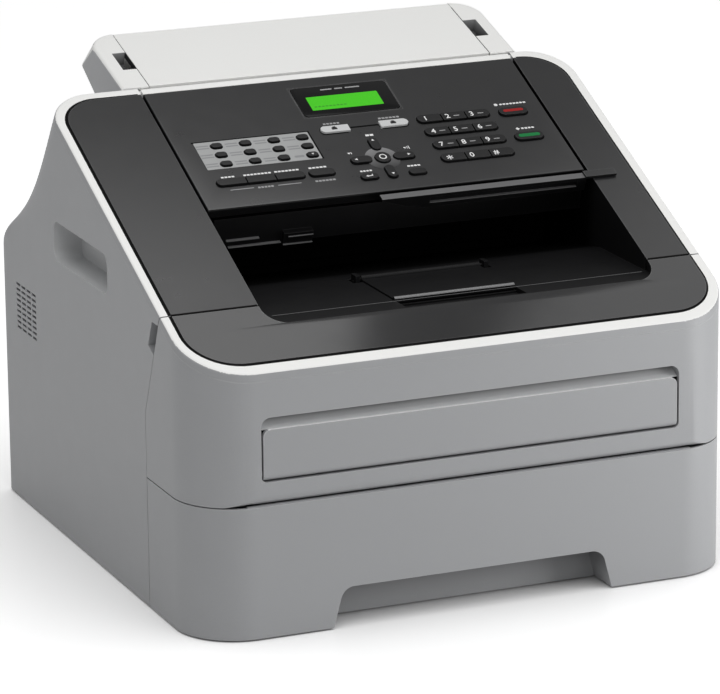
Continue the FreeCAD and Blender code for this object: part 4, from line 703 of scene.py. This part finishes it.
lit_film, film_tree, film = new_material("lit_film")
level = film_tree.nodes.new("ShaderNodeMapping")
level.inputs["Rotation"].default_value = (-slope_tilt, 0, 0)
film_tree.links.new(object_place(film_tree), level.inputs["Vector"])
dots = film_tree.nodes.new("ShaderNodeTexBrick")
dots.offset = 0.0
set_inputs(dots, {"Scale": 1.0, "Brick Width": 0.00055, "Row Height": 0.00065, "Mortar Size": 0.00006,
                  "Color1": paint(66, 196, 26), "Color2": paint(62, 190, 24), "Mortar": paint(78, 208, 34)})
film_tree.links.new(level.outputs["Vector"], dots.inputs["Vector"])
unlit = blend(film_tree, "MULTIPLY", 1.0, dots.outputs["Color"], (0.12, 0.12, 0.12, 1))
film_tree.links.new(unlit, film.inputs["Base Color"])
film_tree.links.new(dots.outputs["Color"], film.inputs["Emission Color"])
set_inputs(film, {"Emission Strength": 0.85, "Roughness": 0.3, "Specular IOR Level": 0.2})
film_top = 0.46
film_sheet = plates(((-12.0, 38.3), (249.2, 263.7), (lens_top, film_top)), corner=0.6)
add_piece("display_film", film_sheet, lit_film, "control_panel")

display_ink = moulded_plastic("display_ink", (30, 92, 14), 0.3, wear_and_highlight=0.0)
form = bmesh.new()
for column in range(9):
    left = -9.5 + column * 2.6
    add_plate(form, (left, left + 1.7), (252.4, 253.1), (film_top, film_top + 0.02))
add_piece("display_dashes", form, display_ink, "control_panel")
form = bmesh.new()
for left, right in ((1.0, 9.0), (11.0, 16.5), (18.5, 28.8)):
    add_plate(form, (left, right), (269.8, 271.0), (lens_top, lens_top + 0.03), corner=0.3)
add_piece("display_lens_print", form, legend_grey, "control_panel")

# Keys: moulded black caps with eased edges that stand out of openings in the panel and are pressed in.
# The two mode keys are grey, and the start and stop keys carry a coloured bar.
# The thin black rings round the caps are painted shade of the gaps that they move in, and wider below the caps
# as a painted shadow.
key_black = moulded_plastic("key_black", (17, 17, 18), 0.38, grain=2600.0, depth=0.00002, worn_and_lit_edge=(90, 90, 90),
                            wear_and_highlight=0.2, shine=0.3)
key_grey = moulded_plastic("key_grey", (196, 197, 197), 0.4, grain=2600.0, depth=0.00002, wear_and_highlight=0.1)
black_keys = ["number_keys_row_%d" % row for row in range(1, 5)]
black_keys += ["one_touch_keys", "function_keys", "cursor_keys", "ok_key", "clear_key", "menu_key"]
mode_keys = ["fax_key", "copy_key"]
for title in black_keys:
    moulding(title, key_black, 0.5, title, 3)
for title in mode_keys:
    moulding(title, key_grey, 0.5, title, 3)
stop_red = moulded_plastic("stop_red", (150, 22, 22), 0.35, wear_and_highlight=0.0, shine=0.2)
start_green = moulded_plastic("start_green", (10, 116, 58), 0.35, wear_and_highlight=0.0, shine=0.2)
for title, finish, colour, x, v, corner in (
        ("stop_key", "key_red", stop_red, (114.8, 129.0), (225.9, 228.5), 1.1),
        ("start_key", "key_green", start_green, (114.4, 129.4), (197.9, 201.1), 1.4)):
    moulding(title, key_black, 0.5, title, 3)
    add_piece(title + "_bar", plates((x, v, (1.45, 1.56)), corner=corner), colour, title)


def key_caps(node):
    """The outlines of a node's caps on the slope in millimetres, with caps that stand side by side as one."""
    form = whole_faces(node)
    caps = []
    for face in form.faces:
        spots = [(slope_back @ vert.co) / mm for vert in face.verts]
        if face.normal.dot(slope_up) > 0.99 and min(spot.z for spot in spots) > 1.0:
            across = [spot.x for spot in spots]
            along = [spot.y for spot in spots]
            caps.append([min(across), max(across), min(along), max(along)])
    form.free()
    caps.sort()
    joined = []
    for cap in caps:
        beside = [known for known in joined if abs(known[2] - cap[2]) < 0.5 and cap[0] - known[1] < 1.5]
        if beside:
            beside[0][1] = cap[1]
        else:
            joined.append(cap)
    return joined


surrounds = bmesh.new()
openings = bmesh.new()
slack = 0.02
for node in black_keys + mode_keys + ["stop_key", "start_key"]:
    ring_top = 0.24 if node == "one_touch_keys" else 0.04
    for left, right, low, high in key_caps(node):
        half = min(right - left, high - low) / 2
        add_plate(surrounds, (left - 0.6, right + 0.6), (low - 1.1, high + 0.6), (0.0, ring_top),
                  corner=half + 0.5)
        add_plate(openings, (left - slack, right + slack), (low - slack, high + slack), (-1, 1),
                  corner=half - 0.05)
add_piece("key_surrounds", pierce(surrounds, openings), painted_shade_lines, "control_panel")


# Figures on the number keys: digits, a star and a hash, pad printed on the caps in white ink.
# A short grey dash stands beside each digit from two to nine.
def add_figure(form, figure, x, v, w, height):
    """Adds one printed figure with its middle at a point of the slope."""
    curve = bpy.data.curves.new("figure", "FONT")
    curve.body = figure
    curve.align_x = "CENTER"
    curve.align_y = "CENTER"
    curve.size = height * mm / 0.7
    curve.extrude = 0.02 * mm
    curve.offset = 0.09 * mm
    holder = bpy.data.objects.new("figure", curve)
    bpy.context.scene.collection.objects.link(holder)
    bpy.context.view_layer.update()
    mesh = bpy.data.meshes.new_from_object(holder.evaluated_get(bpy.context.evaluated_depsgraph_get()))
    mesh.transform(Matrix.Translation(Vector((x, v, w)) * mm))
    form.from_mesh(mesh)
    bpy.data.objects.remove(holder)
    bpy.data.curves.remove(curve)
    bpy.data.meshes.remove(mesh)


for row, figures in enumerate(("123", "456", "789", "*0#")):
    form = bmesh.new()
    dashes = bmesh.new()
    v = 227.6 - 14.2 * row
    for figure, x in zip(figures, (59.0, 74.8, 92.0)):
        drop, height = (2.2, 7.0) if figure == "*" else (0.0, 4.4)
        add_figure(form, figure, x, v - drop, 1.52, height)
        if figure not in "1*0#":
            add_plate(dashes, (x + 4.2, x + 8.4), span(v, 0.4), (1.5, 1.54), corner=0.3)
    keys = "number_keys_row_%d" % (row + 1)
    add_piece("number_figures_row_%d" % (row + 1), form, legend_white, keys)
    if dashes.faces:
        add_piece("number_letters_row_%d" % (row + 1), dashes, legend_grey, keys)

# Signs on the other keys: printed on the caps, in white ink on the black ones and in black on the grey ones.
# There are arrows on the cursor keys, the clear key and the last one-touch key, a ring on the confirm key
# and sheets on the two mode keys.
cap_ink = (1.5, 1.53)
form = bmesh.new()
for x, v, turn in ((14.9, 210.9, 0), (-3.4, 192.8, 90), (33.0, 192.8, -90), (15.3, 175.0, 180)):
    add_disc(form, x, v, cap_ink, 1.25, 3, turn)
add_piece("cursor_signs", form, legend_white, "cursor_keys")
form = bmesh.new()
add_disc(form, pad_x, pad_v, cap_ink, 2.6)
add_piece("confirm_sign", form, legend_white, "ok_key")
form = bmesh.new()
add_disc(form, pad_x, pad_v, (1.53, 1.55), 1.8)
add_piece("confirm_sign_middle", form, key_black, "ok_key")
form = plates(((-2.2, 1.2), (174.4, 175.1), cap_ink), ((0.6, 1.2), (174.4, 176.4), cap_ink))
add_disc(form, -2.6, 174.75, cap_ink, 1.2, 3, 90)
add_piece("clear_sign", form, legend_white, "clear_key")
for title, x in (("fax_key", -5.6), ("copy_key", 35.8)):
    form = plates(((x - 0.9, x + 1.1), (228.3, 229.2), cap_ink))
    add_plate(form, span(x, 1.9), (225.9, 228.3), cap_ink, corner=0.4)
    add_piece(title + "_sign", form, key_black, title)
form = bmesh.new()
add_disc(form, -29.7, 203.6, cap_ink, 1.0, 3, 180)
add_piece("one_touch_sign", form, legend_white, "one_touch_keys")

# Floor, light and camera: a pale floor under soft studio light, seen from the front left and a little above.
# The floor glows for the camera and in mirrors alone, and less where the machine shelters it from the sky, as
# a painted shadow.
# The two glints light no matt surface and only show in the sheen of the dark top.
floor_form = bmesh.new()
bmesh.ops.create_grid(floor_form, x_segments=1, y_segments=1, size=8.0)
floor_mesh = bpy.data.meshes.new("floor")
floor_form.to_mesh(floor_mesh)
floor_form.free()
floor = bpy.data.objects.new("floor", floor_mesh)
bpy.context.scene.collection.objects.link(floor)
floor_paint, floor_tree, floor_shader = new_material("floor_paint")
set_inputs(floor_shader, {"Base Color": (0.8, 0.8, 0.8, 1), "Roughness": 0.35})
glow = floor_tree.nodes.new("ShaderNodeEmission")
seen = floor_tree.nodes.new("ShaderNodeLightPath")
direct = maths(floor_tree, "ADD", seen.outputs["Is Camera Ray"], seen.outputs["Is Glossy Ray"], clamp=True)
direct = maths(floor_tree, "ADD", direct, seen.outputs["Is Transmission Ray"], clamp=True)
shelter = floor_tree.nodes.new("ShaderNodeAmbientOcclusion")
shelter.samples = 16
shelter.inputs["Distance"].default_value = 1.2
open_sky = maths(floor_tree, "POWER", shelter.outputs["AO"], 1.3)
bright = maths(floor_tree, "MULTIPLY", direct, open_sky)
floor_tree.links.new(maths(floor_tree, "MULTIPLY", bright, 0.62), glow.inputs["Strength"])
lit_floor = floor_tree.nodes.new("ShaderNodeAddShader")
floor_tree.links.new(floor_shader.outputs["BSDF"], lit_floor.inputs[0])
floor_tree.links.new(glow.outputs["Emission"], lit_floor.inputs[1])
floor_tree.links.new(lit_floor.outputs["Shader"], floor_tree.nodes["Material Output"].inputs["Surface"])
floor_mesh.materials.append(floor_paint)

world = bpy.data.worlds.new("studio")
bpy.context.scene.world = world
world.use_nodes = True
set_inputs(world.node_tree.nodes["Background"], {"Color": (1, 1, 1, 1), "Strength": 0.37})


def soft_box(title, place, target, size, power):
    """A lamp with a flat soft face that looks at a target."""
    lamp = bpy.data.lights.new(title, "AREA")
    lamp.shape = "RECTANGLE"
    lamp.size, lamp.size_y = size
    lamp.energy = power
    holder = bpy.data.objects.new(title, lamp)
    bpy.context.scene.collection.objects.link(holder)
    holder.location = place
    holder.rotation_euler = (Vector(target) - Vector(place)).to_track_quat("-Z", "Y").to_euler()
    return holder


soft_box("top_light", (-0.06, -0.62, 1.7), (0, -0.1, 0.2), (1.8, 1.8), 20)
soft_box("right_light", (0.62, -0.52, 0.1), (0.1, -0.18, 0.1), (0.3, 0.16), 1.7)
for title, place, target, size, power in (
        ("left_glint", (0.0, 0.1, 0.8), (-0.1, -0.16, 0.18), (0.35, 0.26), 0.53),
        ("right_glint", (0.5, 0.1, 0.8), (0.14, -0.16, 0.18), (0.24, 0.26), 0.19)):
    glint = soft_box(title, place, target, size, power)
    glint.visible_diffuse = False

yaw, pitch, roll = (math.radians(angle) for angle in (22.77575, 15.65409, -0.57524))
ahead = Vector((math.sin(yaw) * math.cos(pitch), math.cos(yaw) * math.cos(pitch), -math.sin(pitch)))
level_right = Vector((math.cos(yaw), -math.sin(yaw), 0))
level_up = level_right.cross(ahead)
right = math.cos(roll) * level_right + math.sin(roll) * level_up
up = math.cos(roll) * level_up - math.sin(roll) * level_right
lens_data = bpy.data.cameras.new("camera")
lens_data.sensor_fit = "HORIZONTAL"
lens_data.sensor_width = 36.0
lens_data.lens = 222.62
lens_data.clip_end = 50.0
camera = bpy.data.objects.new("camera", lens_data)
bpy.context.scene.collection.objects.link(camera)
look_at = Vector((-0.000226, 0, 0.123849))
stand = look_at - ahead * 2.90042
camera.matrix_world = Matrix.Translation(stand) @ Matrix((right, up, -ahead)).transposed().to_4x4()
bpy.context.scene.camera = camera
bpy.context.scene.view_settings.view_transform = "Standard"
